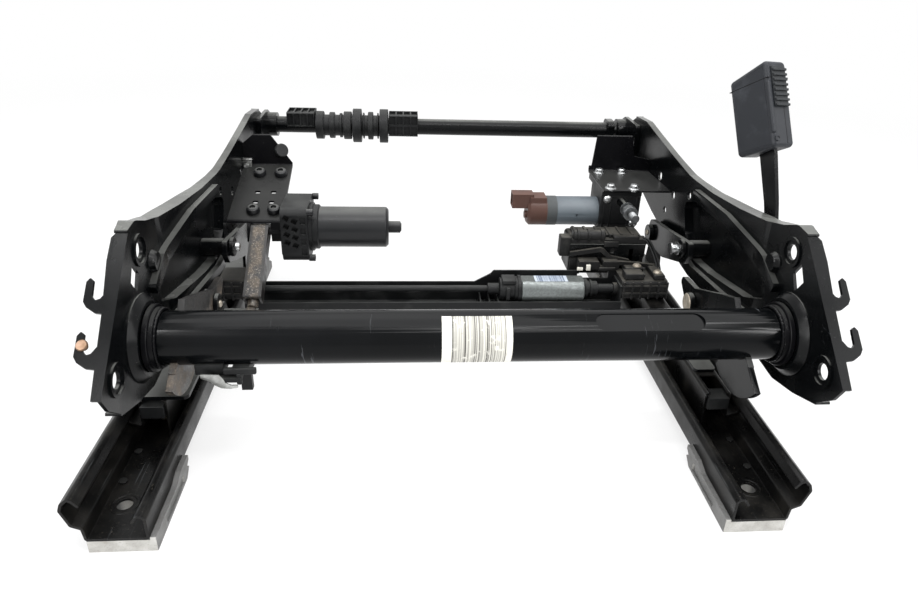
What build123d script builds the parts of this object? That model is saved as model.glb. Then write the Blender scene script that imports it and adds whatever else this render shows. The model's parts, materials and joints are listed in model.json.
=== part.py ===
from build123d import *
import os
from math import atan2, degrees

# Powered seat base: two floor rails, a carriage that slides on them, a lifting linkage
# and the seat frame that it carries. Sizes are millimetres. X runs across the seat,
# Y points to its front and Z up. Lengths along Y count from the rear ends of the rails,
# and the finished pieces are moved so that the origin lies on the floor in the middle of
# the four floor bolts. The seat frame stands a little to the right of the rails.

# Rails
rail_half_pitch = 229.0
rail_length = 450.0
rail_wall = 2.0
rail_bend = 1.6
foot_height = 10.0
lower_half_width = 26.0
lower_inner_wall = 19.0
lower_outer_wall = 35.0
floor_hole_radius = 5.5
floor_hole_offset = 0.0
floor_ring_radius = 10.0
floor_hole_from_end = 32.0
carriage_start = 102.0
carriage_length = 330.0
upper_height = 39.0
slide_back = 100.0
slide_forward = 120.0

# Drive spindle
spindle_radius = 4.0
spindle_height = 14.0
running_gap = 0.05
touch_gap = 0.3

# Linkage
tube_y = 96.0
tube_z = 110.0
tube_radius = 20.0
tube_wall = 2.5
press_depth = 2.2
link_back = 90.0
link_rise = 20.0
link_thickness = 5.0
pin_radius = 5.0
front_pin_y = 256.0
front_pin_z = 113.0
left_link_x = -199.1
ear_wall = 3.0
right_link_x = 228.0
front_right_link_x = 241.0

# Seat frame
frame_shift = 23.0
plate_half_gap = 244.3
plate_wall = 2.5
nose_half_gap = 222.0
top_flange_width = 14.0
low_flange_width = 8.0
pocket_depth = 9.0
bead_height = 5.0
ring_height = 6.0
ring_radius = 33.0
back_hole_radius = 6.2
back_hole_low = (42.6, 109.6)
back_hole_high = (117.0, 170.5)

# Front tube
front_tube_y = 498.0
front_tube_z = 169.0
front_tube_radius = 9.5
bush_reach = 8.0

# Motors
lift_motor_radius = 20.5
lift_motor_y = 315.0
lift_motor_z = 110.0
tilt_motor_radius = 15.7
tilt_motor_y = 360.0
tilt_motor_z = 113.0
slide_motor_radius = 13.6
slide_motor_y = 279.0
slide_motor_z = 57.0
slide_can_x0 = 86.0
slide_can_x1 = 151.0

# Cross tray and control unit
tray_y0 = 262.0
tray_y1 = 295.0
tray_floor = 35.0
tray_wall = 2.0
unit_x0 = 140.0
unit_x1 = 221.0
unit_y0 = 306.0
unit_y1 = 338.0
unit_z0 = 62.0
unit_z1 = 101.0

# Lift drive
rod_x = -175.0
rod_pivot_y = 228.0
rod_pivot_z = 56.0
swing_y = 302.0
swing_z = 110.0
rod_length = 80.0
rod_radius = 5.0
rod_pin_radius = 4.0
channel_length = 78.0
channel_half = 8.5
channel_wall = 2.0
lift_cheek_x = -153.0

# Tilt drive
tilt_x = 200.0
tilt_screw_z = 130.0
tilt_screw_radius = 4.0
tilt_plate_z = 142.0
tilt_case_x0 = 178.0
tilt_cap_end = 121.5
tilt_case_x1 = 221.5
crank_x = 222.0
crank_half = 4.0

# Buckle
buckle_bolt_y = 185.0
buckle_bolt_z = 158.0
buckle_width = 42.0
buckle_thickness = 22.7
buckle_height = 73.0
buckle_foot = (273.5, 202.5, 225.0)
buckle_broad = (0.311, -0.818, 0.484)
buckle_axis = (-0.090, 0.481, 0.872)

# Places that follow from the sizes
carriage_end = carriage_start + carriage_length
web_floor = foot_height + rail_wall
rail_top = foot_height + upper_height + rail_wall / 2
rear_pin_y = tube_y + link_back
rear_pin_z = tube_z - link_rise
front_low_y = front_pin_y + link_back
front_low_z = front_pin_z - link_rise
spindle_z = foot_height + spindle_height
spindle_x = rail_half_pitch - 2.0
case_top = rail_top + 21.0
case_inner = rail_half_pitch - 40.0
left_ear_x = left_link_x - touch_gap - ear_wall
right_ear_x = right_link_x + link_thickness + touch_gap
front_right_ear_x = front_right_link_x + link_thickness + touch_gap
member_face = frame_shift + plate_half_gap
front_tube_half = nose_half_gap - bush_reach
rod_angle = degrees(atan2(swing_z - rod_pivot_z, swing_y - rod_pivot_y))
nodes = {}


def box(x0, x1, y0, y1, z0, z1):
    """Block between two corners."""
    return Pos((x0 + x1) / 2, (y0 + y1) / 2, (z0 + z1) / 2) * Box(x1 - x0, y1 - y0, z1 - z0)


def bar_x(x0, x1, y, z, radius):
    """Round bar across the seat."""
    return Pos((x0 + x1) / 2, y, z) * Rot(0, 90, 0) * Cylinder(radius, abs(x1 - x0))


def bar_y(y0, y1, x, z, radius):
    """Round bar along the seat."""
    return Pos(x, (y0 + y1) / 2, z) * Rot(90, 0, 0) * Cylinder(radius, abs(y1 - y0))


def bar_z(z0, z1, x, y, radius):
    """Upright round bar."""
    return Pos(x, y, (z0 + z1) / 2) * Cylinder(radius, abs(z1 - z0))


def outline(points, rounding=0.0):
    """Flat shape with straight sides and rounded corners."""
    shape = Polygon(*points, align=None)
    return fillet(shape.vertices(), rounding) if rounding else shape


def side_plane(x):
    """Plane facing +X whose own axes run along Y and Z."""
    return Plane(origin=(x, 0, 0), x_dir=(0, 1, 0), z_dir=(1, 0, 0))


def end_plane(y):
    """Plane across the seat whose own axes run along X and Z."""
    return Plane(origin=(0, y, 0), x_dir=(1, 0, 0), z_dir=(0, -1, 0))


def push_x(shape, x0, x1):
    """Side shape in Y and Z, carried from x0 to x1."""
    return extrude(side_plane(x0) * shape, amount=x1 - x0, dir=(1, 0, 0))


def prism_x(points, x0, x1, rounding=0.0):
    """Side outline in Y and Z, carried from x0 to x1."""
    return push_x(outline(points, rounding), x0, x1)


def prism_y(points, y0, y1, rounding=0.0):
    """End outline in X and Z, carried from y0 to y1."""
    return extrude(end_plane(y0) * outline(points, rounding), amount=y1 - y0, dir=(0, 1, 0))


def prism_z(points, z0, z1, rounding=0.0):
    """Plan outline in X and Y, carried from z0 to z1."""
    return extrude(Plane.XY.offset(z0) * outline(points, rounding), amount=z1 - z0, dir=(0, 0, 1))


def strip(points, wall, bend):
    """Flat shape of a folded sheet that follows the points with rounded bends."""
    path = FilletPolyline(*points, radius=bend)
    return make_face(path.offset_2d(wall / 2, side=Side.BOTH).edges())


def mirrored(shape, centre):
    """Left-hand twin of a right-hand piece."""
    return mirror(shape, about=Plane.YZ.offset(centre))


def both_frame_sides(name, shape):
    """Right piece of the seat frame and its left twin."""
    nodes[name + "_right"] = shape
    nodes[name + "_left"] = mirrored(shape, frame_shift)


def group(shapes):
    """Separate solids kept in one node."""
    return Compound(children=[solid for shape in shapes for solid in shape.solids()])


def rail_x(offset):
    """Place across the right rail, counted outwards from its middle."""
    return rail_half_pitch + offset


# Lower rails
def lower_rail():
    low = foot_height + rail_wall / 2
    inner = lower_inner_wall
    outer = lower_outer_wall
    half = lower_half_width
    path = [
        (rail_x(-17.5), low + inner - 4.5), (rail_x(-20.5), low + inner), (rail_x(-24), low + inner),
        (rail_x(-half), low + inner - 3), (rail_x(-half), low), (rail_x(14), low),
        (rail_x(15), low + 10), (rail_x(21.5), low + 13), (rail_x(half), low + outer - 9),
        (rail_x(half - 1.7), low + outer - 4), (rail_x(20), low + outer),
        (rail_x(17), low + outer - 1.5), (rail_x(14), low + outer - 5.5),
    ]
    rail = extrude(end_plane(0) * strip(path, rail_wall, rail_bend), amount=rail_length, dir=(0, 1, 0))
    hole_x = rail_x(floor_hole_offset)
    for y in (floor_hole_from_end, rail_length - floor_hole_from_end):
        ring = bar_z(web_floor, web_floor + 0.5, hole_x, y, floor_ring_radius)
        ring = ring - bar_z(web_floor, web_floor + 1, hole_x, y, floor_ring_radius - 1.8)
        rail = rail + ring
        rail = rail - bar_z(foot_height - 1, web_floor + 1, hole_x, y, floor_hole_radius)
    return rail


rail = lower_rail()
nodes["lower_rail_right"] = rail
nodes["lower_rail_left"] = mirrored(rail, 0)


# Feet
def rear_foot():
    kerb_x = rail_x(-lower_half_width - rail_wall / 2 - 0.1)
    base = box(rail_x(-31), rail_x(14), 0, 66, 0, foot_height)
    kerb_outline = [(0, 0), (70, 0), (78, 6), (74, 9), (79, 12), (79, 16), (60, 16), (48, foot_height + 2),
                    (0, foot_height + 2)]
    wall = prism_x(kerb_outline, rail_x(-31), kerb_x, 0.8)
    window = box(rail_x(-32), rail_x(-29.5), 22, 64, 2.5, foot_height - 0.5)
    hole = bar_z(-1, foot_height + 1, rail_x(floor_hole_offset), floor_hole_from_end, floor_hole_radius)
    return base + wall - window - hole


def front_foot():
    start = rail_length - 62
    base = box(rail_x(-31), rail_x(14), start, rail_length, 0, foot_height)
    base = fillet(base.edges().filter_by(Axis.Y), 1.5)
    lug = box(rail_x(-31), rail_x(-27.2), start, rail_length - 12, 2, 20)
    hole_y = rail_length - floor_hole_from_end
    hole = bar_z(-1, foot_height + 1, rail_x(floor_hole_offset), hole_y, floor_hole_radius)
    return base + lug - hole


foot = rear_foot()
nodes["rear_feet"] = group([foot, mirrored(foot, 0)])
foot = front_foot()
nodes["front_feet"] = group([foot, mirrored(foot, 0)])


# Rivets that hold the feet to the rail floor
def foot_rivets():
    rivets = []
    for y in (55.0, 88.0, 131.0, rail_length - 50.0):
        head = bar_z(web_floor, web_floor + 1.2, rail_x(9), y, 3.2)
        rivets += [head, mirrored(head, 0)]
    return group(rivets)


nodes["rail_rivets"] = foot_rivets()


# Fixed drive spindles and the blocks that hold their ends
block_length = 10.0
block_starts = (128.0, rail_length - floor_hole_from_end + floor_ring_radius + 1)


def spindle():
    start = block_starts[0] + 2
    end = block_starts[1] + block_length - 2
    return bar_y(start, end, spindle_x, spindle_z, spindle_radius)


def spindle_blocks():
    blocks = []
    for y in block_starts:
        block = box(spindle_x - 6, spindle_x + 6, y, y + block_length, web_floor, spindle_z + 7)
        block = fillet(block.edges().filter_by(Axis.Y).sort_by(Axis.Z)[-2:], 3) - spindle()
        blocks += [block, mirrored(block, 0)]
    return group(blocks)


nodes["drive_spindles"] = group([spindle(), mirrored(spindle(), 0)])
nodes["spindle_blocks"] = spindle_blocks()


# Upper rails
def upper_rail():
    low = foot_height + 6
    top = foot_height + upper_height
    path = [
        (rail_x(-21), low + 7.5), (rail_x(-21), low), (rail_x(-12), low), (rail_x(-12), top),
        (rail_x(8), top), (rail_x(8), low + 9), (rail_x(18.5), low + 13.5), (rail_x(18.5), low + 23),
    ]
    section = end_plane(carriage_start) * strip(path, rail_wall, rail_bend)
    rail = extrude(section, amount=carriage_length, dir=(0, 1, 0))
    open_end = box(rail_x(-9), rail_x(5), carriage_start - 1, carriage_start + 26, top - 4, top + 4)
    drive_window = box(rail_x(-6), rail_x(2), 276, 298, top - 4, top + 4)
    return rail - open_end - drive_window


rail = upper_rail()
nodes["upper_rail_right"] = rail
nodes["upper_rail_left"] = mirrored(rail, 0)


# Plastic shoes that carry the upper rails in the lower ones
def guide_shoes():
    shoes = []
    low = foot_height + 6 - rail_wall / 2
    for y in (carriage_start + 8, carriage_start + 150, carriage_end - 36):
        under = box(rail_x(-20), rail_x(-13.5), y, y + 28, web_floor + touch_gap, low)
        side = box(rail_x(19.5), rail_x(22.3), y, y + 28, foot_height + 22.5, foot_height + 27.5)
        shoes += [under, side, mirrored(under, 0), mirrored(side, 0)]
    return group(shoes)


nodes["guide_shoes"] = guide_shoes()


# Plastic plugs in the ends of the upper rails
def rail_plugs():
    plugs = []
    top = rail_top - rail_wall
    for y in (carriage_start - 3, carriage_end - 12):
        plug = box(rail_x(-10.8), rail_x(6.8), y, y + 15, spindle_z + 11, top - 2)
        plugs += [plug, mirrored(plug, 0)]
    return group(plugs)


nodes["rail_plugs"] = rail_plugs()


# Gearboxes whose nuts run on the fixed spindles
def screw_gearbox():
    nut = box(rail_x(-10), rail_x(6), 272, 300, web_floor + 4, rail_top - rail_wall - touch_gap)
    nut = nut - bar_y(270, 302, spindle_x, spindle_z, spindle_radius + running_gap)
    neck = box(rail_x(-5), rail_x(1), 277, 297, rail_top - 6, rail_top + 3)
    case = box(case_inner, rail_x(8), 266, 304, rail_top + touch_gap, case_top)
    case = fillet(case.edges().filter_by(Axis.X), 5)
    cap = bar_x(case_inner - 6, case_inner + 2, slide_motor_y, slide_motor_z, 6.5)
    return nut + neck + case + cap


gearbox = screw_gearbox()
nodes["screw_gearbox_right"] = gearbox
nodes["screw_gearbox_left"] = mirrored(gearbox, 0)


# Brackets on the upper rails that carry the lift links
def link_ear(pin_y, pin_z, base, half_base):
    """Outline of an upright ear, rounded over its pin."""
    ear = outline([
        (pin_y - half_base, base), (pin_y + half_base, base),
        (pin_y + 12, pin_z + 2), (pin_y + 6, pin_z + 12), (pin_y - 6, pin_z + 12), (pin_y - 12, pin_z + 2),
    ], 5)
    return ear


def bracket(ear_x, plate_x0, plate_x1, plate_y0, plate_y1, pin_y, pin_z):
    plate_top = rail_top + 3
    plate = prism_z([(plate_x0, plate_y0), (plate_x1, plate_y0), (plate_x1, plate_y1), (plate_x0, plate_y1)],
                    rail_top, plate_top, 4)
    ear = push_x(link_ear(pin_y, pin_z, rail_top, 22), ear_x, ear_x + ear_wall)
    hole = bar_x(ear_x - 1, ear_x + ear_wall + 1, pin_y, pin_z, pin_radius + running_gap)
    return plate + ear - hole


def rod_stud():
    """Ear and stud on which the lift rod's lower end turns."""
    ear = push_x(link_ear(rod_pivot_y, rod_pivot_z, rail_top, 10), left_ear_x, left_ear_x + ear_wall)
    shoulder = bar_x(left_ear_x + 1, rod_x - 4 - touch_gap, rod_pivot_y, rod_pivot_z, rod_pin_radius + 2)
    stud = bar_x(left_ear_x + 1, rod_x + 7, rod_pivot_y, rod_pivot_z, rod_pin_radius)
    head = bar_x(rod_x + 4 + touch_gap, rod_x + 7, rod_pivot_y, rod_pivot_z, rod_pin_radius + 2)
    return ear + shoulder + stud + head


nodes["rear_bracket_left"] = rod_stud() + bracket(
    left_ear_x, -rail_x(8), left_ear_x + ear_wall,
    carriage_start + 1, rod_pivot_y + 12, rear_pin_y, rear_pin_z)
nodes["rear_bracket_right"] = bracket(
    right_ear_x, rail_x(-12), right_ear_x + ear_wall,
    carriage_start + 30, rear_pin_y + 46, rear_pin_y, rear_pin_z)
nodes["front_bracket_left"] = bracket(
    left_ear_x, -rail_x(8), left_ear_x + ear_wall,
    front_low_y - 28, front_low_y + 40, front_low_y, front_low_z)
nodes["front_bracket_right"] = bracket(
    front_right_ear_x, rail_x(-12), front_right_ear_x + ear_wall,
    front_low_y - 28, front_low_y + 40, front_low_y, front_low_z)


# Rivets on which the four links turn
def link_pins():
    pins = []
    places = ((rear_pin_y, rear_pin_z, right_link_x), (front_low_y, front_low_z, front_right_link_x))
    head_x = left_link_x + link_thickness + touch_gap
    for y, z, link_x in places:
        ear_x = link_x + link_thickness + touch_gap
        left = bar_x(left_ear_x, head_x, y, z, pin_radius)
        left = left + bar_x(head_x, head_x + 4 - touch_gap, y, z, 9)
        right = bar_x(link_x - touch_gap, ear_x + ear_wall, y, z, pin_radius)
        right = right + bar_x(link_x - 5, link_x - touch_gap, y, z, 9)
        pins += [left, right]
    return group(pins)


nodes["link_pins"] = link_pins()


# Rear cross tube with its collars
def rear_tube():
    end = plate_half_gap + plate_wall + 6
    start = frame_shift - end
    tube = bar_x(start, frame_shift + end, tube_y, tube_z, tube_radius)
    tube = tube - bar_x(start - 1, frame_shift + end + 1, tube_y, tube_z, tube_radius - tube_wall)
    plane = Plane(origin=(152, tube_y, tube_z), x_dir=(1, 0, 0), z_dir=(0, -0.5, 0.866))
    hollow = plane * SlotOverall(84, 15)
    floor = plane * SlotOverall(84 + tube_wall, 15 + tube_wall)
    low = tube_radius - press_depth
    tube = tube + (extrude(floor, amount=low) - extrude(floor, amount=low - tube_wall))
    return tube - (extrude(hollow, amount=tube_radius + 5) - extrude(hollow, amount=low))


nodes["rear_cross_tube"] = rear_tube()


def on_rear_tube(shape):
    """Piece bored to fit the rear cross tube."""
    return shape - bar_x(-300, 350, tube_y, tube_z, tube_radius + 0.02)


def tube_collar():
    outer = member_face - ring_height - 2 * touch_gap
    ring = bar_x(outer - 11, outer, tube_y, tube_z, tube_radius + 4)
    return on_rear_tube(ring + bar_x(outer - 11, outer - 6.5, tube_y, tube_z, tube_radius + 6))


def tube_washer():
    inner = member_face + plate_wall + touch_gap
    return on_rear_tube(bar_x(inner, inner + 3, tube_y, tube_z, tube_radius + 7))


nodes["tube_collars"] = group([tube_collar(), mirrored(tube_collar(), frame_shift)])
nodes["tube_washers"] = group([tube_washer(), mirrored(tube_washer(), frame_shift)])


# Clip that hangs from the tube
def tube_clip():
    hoop = on_rear_tube(bar_x(-156, -144, tube_y, tube_z, tube_radius + 3))
    mouth = box(-157, -143, tube_y - 40, tube_y + 3, tube_z - 14, tube_z + 40)
    mouth = mouth + box(-157, -143, tube_y - 40, tube_y + 40, tube_z + 10, tube_z + 40)
    tail = box(-154, -146, tube_y - 7, tube_y - 2, tube_z - 42, tube_z - tube_radius - 1.5)
    finger = box(-172, -150, tube_y - 22, tube_y - 6, tube_z - 25, tube_z - 22)
    return hoop - mouth + tail + finger


nodes["tube_clip"] = tube_clip()


# Rear links, saddled and welded on the tube
def rear_link(x0, lobe):
    x1 = x0 + link_thickness
    arm = prism_x([
        (tube_y, tube_z + tube_radius + 8), (tube_y + 40, tube_z + 14), (rear_pin_y, rear_pin_z + 14),
        (rear_pin_y + 30, rear_pin_z + 12), (rear_pin_y + 32, rear_pin_z + 6),
        (rear_pin_y + 14, rear_pin_z - 8), (rear_pin_y, rear_pin_z - 14), (tube_y + 40, tube_z - 30),
        (tube_y, tube_z - tube_radius - 8),
    ], x0, x1, 4)
    hub = bar_x(x0, x1, tube_y, tube_z, tube_radius + 9)
    sector = prism_x([
        (tube_y, tube_z), (tube_y - 60, tube_z - 40), (tube_y - 40, tube_z - 80),
        (tube_y + 10, tube_z - 80), (tube_y + 34, tube_z - 60),
    ], x0, x1)
    fan = bar_x(x0, x1, tube_y, tube_z, lobe) & sector
    open_side = prism_x([
        (tube_y, tube_z), (tube_y + 60, tube_z + 70), (tube_y - 60, tube_z + 60), (tube_y - 80, tube_z - 50),
    ], x0 - 1, x1 + 1)
    seat = bar_x(x0 - 1, x1 + 1, tube_y, tube_z, tube_radius + 0.02)
    bore = bar_x(x0 - 1, x1 + 1, rear_pin_y, rear_pin_z, pin_radius + running_gap)
    return arm + hub + fan - open_side - seat - bore


nodes["rear_link_left"] = rear_link(left_link_x, 42.0)
nodes["rear_link_right"] = rear_link(right_link_x, 50.0)


# Front links
def front_link(x0):
    shape = outline([
        (front_pin_y - 12, front_pin_z + 10), (front_low_y - 40, front_low_z + 20),
        (front_low_y + 8, front_low_z + 13), (front_low_y + 14, front_low_z),
        (front_low_y + 8, front_low_z - 13), (front_low_y - 40, front_low_z - 12),
        (front_pin_y - 8, front_pin_z - 13), (front_pin_y - 15, front_pin_z - 2),
    ], 5)
    shape = shape - Pos(front_low_y, front_low_z) * Circle(pin_radius + running_gap)
    shape = shape - Pos(front_pin_y, front_pin_z) * Circle(pin_radius + touch_gap)
    return push_x(shape, x0, x0 + link_thickness)


nodes["front_link_left"] = front_link(left_link_x)
nodes["front_link_right"] = front_link(front_right_link_x)


# Side members
member_line = [
    (member_face, -20), (member_face, 160), (frame_shift + nose_half_gap + 8, 285),
    (frame_shift + nose_half_gap, 520),
]


def beside_member(reach):
    """Plan area from the inner face of the member outwards, or inwards where the reach is negative."""
    path = FilletPolyline(*member_line, radius=90)
    side = Side.RIGHT if reach > 0 else Side.LEFT
    return make_face(path.offset_2d(abs(reach), side=side).edges())


def member_band(inner, outer):
    """Upright wall between two distances from the inner face of the member, outwards positive."""
    area = beside_member(outer)
    if inner > 0:
        area = area - beside_member(inner)
    if inner < 0:
        area = area + beside_member(inner)
    return extrude(area, amount=260, dir=(0, 0, 1))


top_line = [
    (104, 190), (118, 191.5), (137, 184), (163, 177), (203, 173), (250, 171), (300, 173), (350, 180), (400, 188),
    (435, 194), (470, 192),
]
low_line = [
    (40, 84), (69, 74), (100, 67), (135, 70), (173, 77), (215, 77), (266, 80), (309, 90), (340, 98),
    (380, 107), (430, 122), (470, 140),
]
web_outline = top_line + [(488, 182), (490, 160)] + low_line[::-1] + [(24, 98), (17, 111)]
pocket = [
    (132, 120), (160, 136), (220, 150), (276, 154), (300, 146), (286, 118), (262, 98), (232, 98),
    (170, 104),
]

upper_bead = [(124, 130), (160, 144), (220, 157), (276, 161), (276, 168), (215, 165), (150, 153), (122, 139)]
lower_bead = [(140, 84), (200, 84), (262, 87), (290, 95), (286, 101), (256, 94), (200, 94), (140, 97)]


def edge_flange(points, width):
    """Flange that turns outwards along an edge of the member."""
    ribbon = push_x(strip(points, plate_wall, 14), frame_shift + 200, frame_shift + 280)
    return ribbon & member_band(0, width + plate_wall)


back_low = Vector(0, 17, 111)
back_high = Vector(0, 104, 190)
back_flange_outline = [
    (0, 0), (6.5, 0), (7, 14), (8, 40), (8.5, 58), (11, 96), (10.5, 113), (7, 117.5), (0, 117.5),
]
hook_outline = [
    (4, -0.5), (13, 0.5), (19, 4.5), (21.5, 8.5), (21.5, 22.5), (19.3, 25.5), (17, 23.5), (16.5, 12.5),
    (14, 9.5), (11, 10.5), (8, 15), (4, 15),
]
hook_places = (20.5, 58)


def nose_trim():
    """Wedge that narrows the upper flange towards the front."""
    nose = frame_shift + nose_half_gap
    wedge = [(nose + 24, 330), (nose + 12, 430), (nose + 7, 525), (nose + 60, 525), (nose + 60, 330)]
    return prism_z(wedge, 150, 220)


def back_flange():
    """Sloping flange at the rear edge, turned straight outwards, with its two hooks."""
    lean = (back_high - back_low).normalized()
    corner = back_low + Vector(member_face, 0, 0)
    plane = Plane(origin=corner, x_dir=(1, 0, 0), z_dir=Vector(1, 0, 0).cross(lean))
    flange = outline(back_flange_outline)
    for place in hook_places:
        flange = flange + Pos(0, place) * outline(hook_outline, 0.9)
    return extrude(plane * flange, amount=plate_wall, dir=plane.z_dir * -1)


def side_member():
    x0 = frame_shift + plate_half_gap - 60
    x1 = x0 + 90
    shape = prism_x(web_outline, x0, x1, 3)
    web = shape & member_band(0, plate_wall)
    recess = prism_x(pocket, x0, x1, 7)
    floor = push_x(offset(outline(pocket, 7), plate_wall), x0, x1)
    web = web - (recess & member_band(-1, plate_wall + 1))
    web = web + (floor & member_band(pocket_depth, pocket_depth + plate_wall))
    rim = (floor - recess) & member_band(0, pocket_depth + plate_wall)
    web = web + rim
    for bead in (upper_bead, lower_bead):
        web = web + (prism_x(bead, x0, x1, 3) & member_band(-bead_height, plate_wall))
    face = frame_shift + plate_half_gap
    ring = bar_x(face - ring_height, face + 1, tube_y, tube_z, ring_radius)
    ring = chamfer(ring.edges().sort_by(Axis.X)[0], 5)
    web = web + ring
    web = web - bar_x(face - 20, face + 20, tube_y, tube_z, tube_radius + running_gap)
    for y, z in (back_hole_low, back_hole_high):
        web = web + (bar_x(face - 1.5, face + 1, y, z, 12) - bar_x(face - 2, face + 2, y, z, 9.5))
        web = web - bar_x(face - 5, face + 5, y, z, back_hole_radius)
    diamond = prism_x([(101, 148), (106, 156), (101, 164), (96, 156)], face - 5, face + 5)
    boss = Pos(face - 1, 138, 152) * Rot(0, 90, 0) * Cone(7, 10, 6)
    web = web - diamond + boss
    for y, z, radius in ((292, 155, 4), (330, 142, 4.5), (345, 120, 4), (372, 150, 5)):
        web = web - (bar_x(face - 60, face + 20, y, z, radius))
    top = edge_flange(top_line, top_flange_width) - nose_trim()
    low = edge_flange(low_line, low_flange_width)
    return web + top + low + back_flange()


both_frame_sides("side_member", side_member())


def inside_frame(shape, shift=0.0):
    """Right-hand piece cut off where the inner face of the side member begins."""
    return shape - member_band(shift, shift + 40)


# Studs on which the front links carry the members
def pivot_stud(x0, x1):
    """Stud through a link that lies between x0 and x1, on the right."""
    stud = bar_x(x0 - 4, x1 + 1, front_pin_y, front_pin_z, pin_radius)
    head = bar_x(x0 - 4, x0 - touch_gap, front_pin_y, front_pin_z, 9)
    shoulder = bar_x(x1 + touch_gap, member_face + pocket_depth + 3, front_pin_y, front_pin_z, 8)
    return stud + head + inside_frame(shoulder, pocket_depth)


twin_x = 2 * frame_shift - left_link_x
nodes["pivot_studs"] = group([
    pivot_stud(front_right_link_x, front_right_link_x + link_thickness),
    mirrored(pivot_stud(twin_x - link_thickness, twin_x), frame_shift),
])


# Cross tray between the two screw gearboxes, with the saddle of the slide motor
def cross_tray():
    low = tray_floor
    channel = [(tray_y0, low), (tray_y1, low), (tray_y1, 71), (tray_y1 - tray_wall, 71),
               (tray_y1 - tray_wall, low + tray_wall), (tray_y0 + tray_wall, low + tray_wall),
               (tray_y0 + tray_wall, low + 15), (tray_y0, low + 15)]
    tray = prism_x(channel, -case_inner, case_inner)
    spare = prism_y([(-case_inner - 1, 58), (40, 58), (56, 67), (60, 71.5), (-case_inner - 1, 71.5)],
                    tray_y1 - 4, tray_y1 + 1)
    tray = tray - spare - box(148, case_inner - 8, tray_y1 - 4, tray_y1 + 1, 62, 72)
    for x in range(-150, 60, 42):
        tray = tray - bar_z(low - 1, low + 3, x, (tray_y0 + tray_y1) / 2, 6)
    for x0 in (-case_inner, case_inner - tray_wall):
        cheek = box(x0, x0 + tray_wall, tray_y0 + 3, tray_y1, low, 66)
        tray = tray + (cheek - bar_x(x0 - 1, x0 + tray_wall + 1, slide_motor_y, slide_motor_z, 7))
    saddle = box(104, 142, tray_y0 + 8, tray_y1 - tray_wall, low + tray_wall, slide_motor_z - 4)
    return tray + saddle - bar_x(100, 146, slide_motor_y, slide_motor_z, slide_motor_radius)


nodes["cross_tray"] = cross_tray()


# Slide motor with its cap, and the shafts that drive both gearboxes
def slide_motor_can():
    body = bar_x(slide_can_x0, slide_can_x1, slide_motor_y, slide_motor_z, slide_motor_radius)
    top = slide_motor_z + slide_motor_radius - 2.1
    front = slide_motor_y + slide_motor_radius
    rear = slide_motor_y - slide_motor_radius
    body = body - box(slide_can_x0 - 1, slide_can_x1 + 1, rear, front, top, top + 9)
    return chamfer(body.edges().filter_by(GeomType.CIRCLE), 1)


def on_slide_axis(x0, x1, radius):
    """Round piece on the slide motor's axis."""
    return bar_x(x0, x1, slide_motor_y, slide_motor_z, radius)


nodes["slide_motor_can"] = slide_motor_can()
nodes["slide_motor_cap"] = (
    on_slide_axis(64, slide_can_x0, slide_motor_radius - 2)
    + on_slide_axis(slide_can_x0 - 7, slide_can_x0, slide_motor_radius - 0.6)
)
nodes["drive_shafts"] = group([
    on_slide_axis(slide_can_x1, case_inner - 6, 5) + on_slide_axis(slide_can_x1 + 1, slide_can_x1 + 15, 8),
    on_slide_axis(6 - case_inner, 64, 3.5) + on_slide_axis(52, 64, 6),
])


# Control unit on a strap that stands on the right gearbox
def strap_bracket():
    low = unit_z1 - 19
    high = low + 14
    face = box(unit_x0, unit_x1, unit_y0 - 2, unit_y0, low, high)
    leg = box(unit_x1 - 25, unit_x1 - 5, unit_y0 - 2, unit_y0, case_top - 3, high)
    foot = box(unit_x1 - 25, unit_x1 - 5, slide_motor_y - 1, unit_y0, case_top, case_top + 2)
    strap = face + leg + foot
    for x in (unit_x0 + 8, unit_x1 - 35):
        strap = strap - bar_y(unit_y0 - 3, unit_y0 + 1, x, low + 7, 3)
    return strap


def control_unit():
    case = box(unit_x0, unit_x1, unit_y0, unit_y1, unit_z0, unit_z1)
    case = fillet(case.edges().filter_by(Axis.Y), 4)
    lid = box(unit_x0 + 5, unit_x1 - 5, unit_y0 + 6, unit_y1 - 4, unit_z1, unit_z1 + 3)
    return case + lid


def control_connectors():
    plugs = []
    for x0, x1 in ((unit_x0 + 8, unit_x0 + 31), (unit_x0 + 34, unit_x0 + 52)):
        plug = box(x0, x1, unit_y0 - 13, unit_y0, case_top + 1, unit_z1 - 20)
        plugs.append(fillet(plug.edges().filter_by(Axis.Y), 2))
    return group(plugs)


nodes["strap_bracket"] = strap_bracket()
nodes["control_unit"] = control_unit()
nodes["control_connectors"] = control_connectors()


# Lift rod and the channel that guides it
def along_rod(shape, y, z):
    """Piece drawn along Y, turned to the rod's slope and put at its pivot."""
    return Pos(0, y, z) * Rot(rod_angle, 0, 0) * shape


def lift_rod():
    eye = bar_x(rod_x - 4, rod_x + 4, 0, 0, 7.5)
    rod = bar_y(rod_pin_radius + 3, rod_length, rod_x, 0, rod_radius)
    hole = bar_x(rod_x - 5, rod_x + 5, 0, 0, rod_pin_radius + running_gap)
    return along_rod(eye + rod - hole, rod_pivot_y, rod_pivot_z)


def lift_channel():
    x0 = rod_x - channel_half
    x1 = rod_x + channel_half
    shell = prism_x([
        (-channel_length, -6), (-channel_length, 8), (3, 8), (8, 3), (8, -4), (3, -8), (-20, -6),
    ], x0, x1, 2)
    space = prism_x([
        (-channel_length - 5, -12), (-channel_length - 5, 8 - channel_wall), (2, 8 - channel_wall),
        (8 - channel_wall, 2), (8 - channel_wall, -12),
    ], x0 + channel_wall, x1 - channel_wall, 1)
    hole = bar_x(x0 - 1, x1 + 1, 0, 0, rod_pin_radius + running_gap)
    return along_rod(shell - space - hole, swing_y, swing_z)


nodes["lift_rod"] = lift_rod()
nodes["lift_channel"] = lift_channel()


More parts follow.
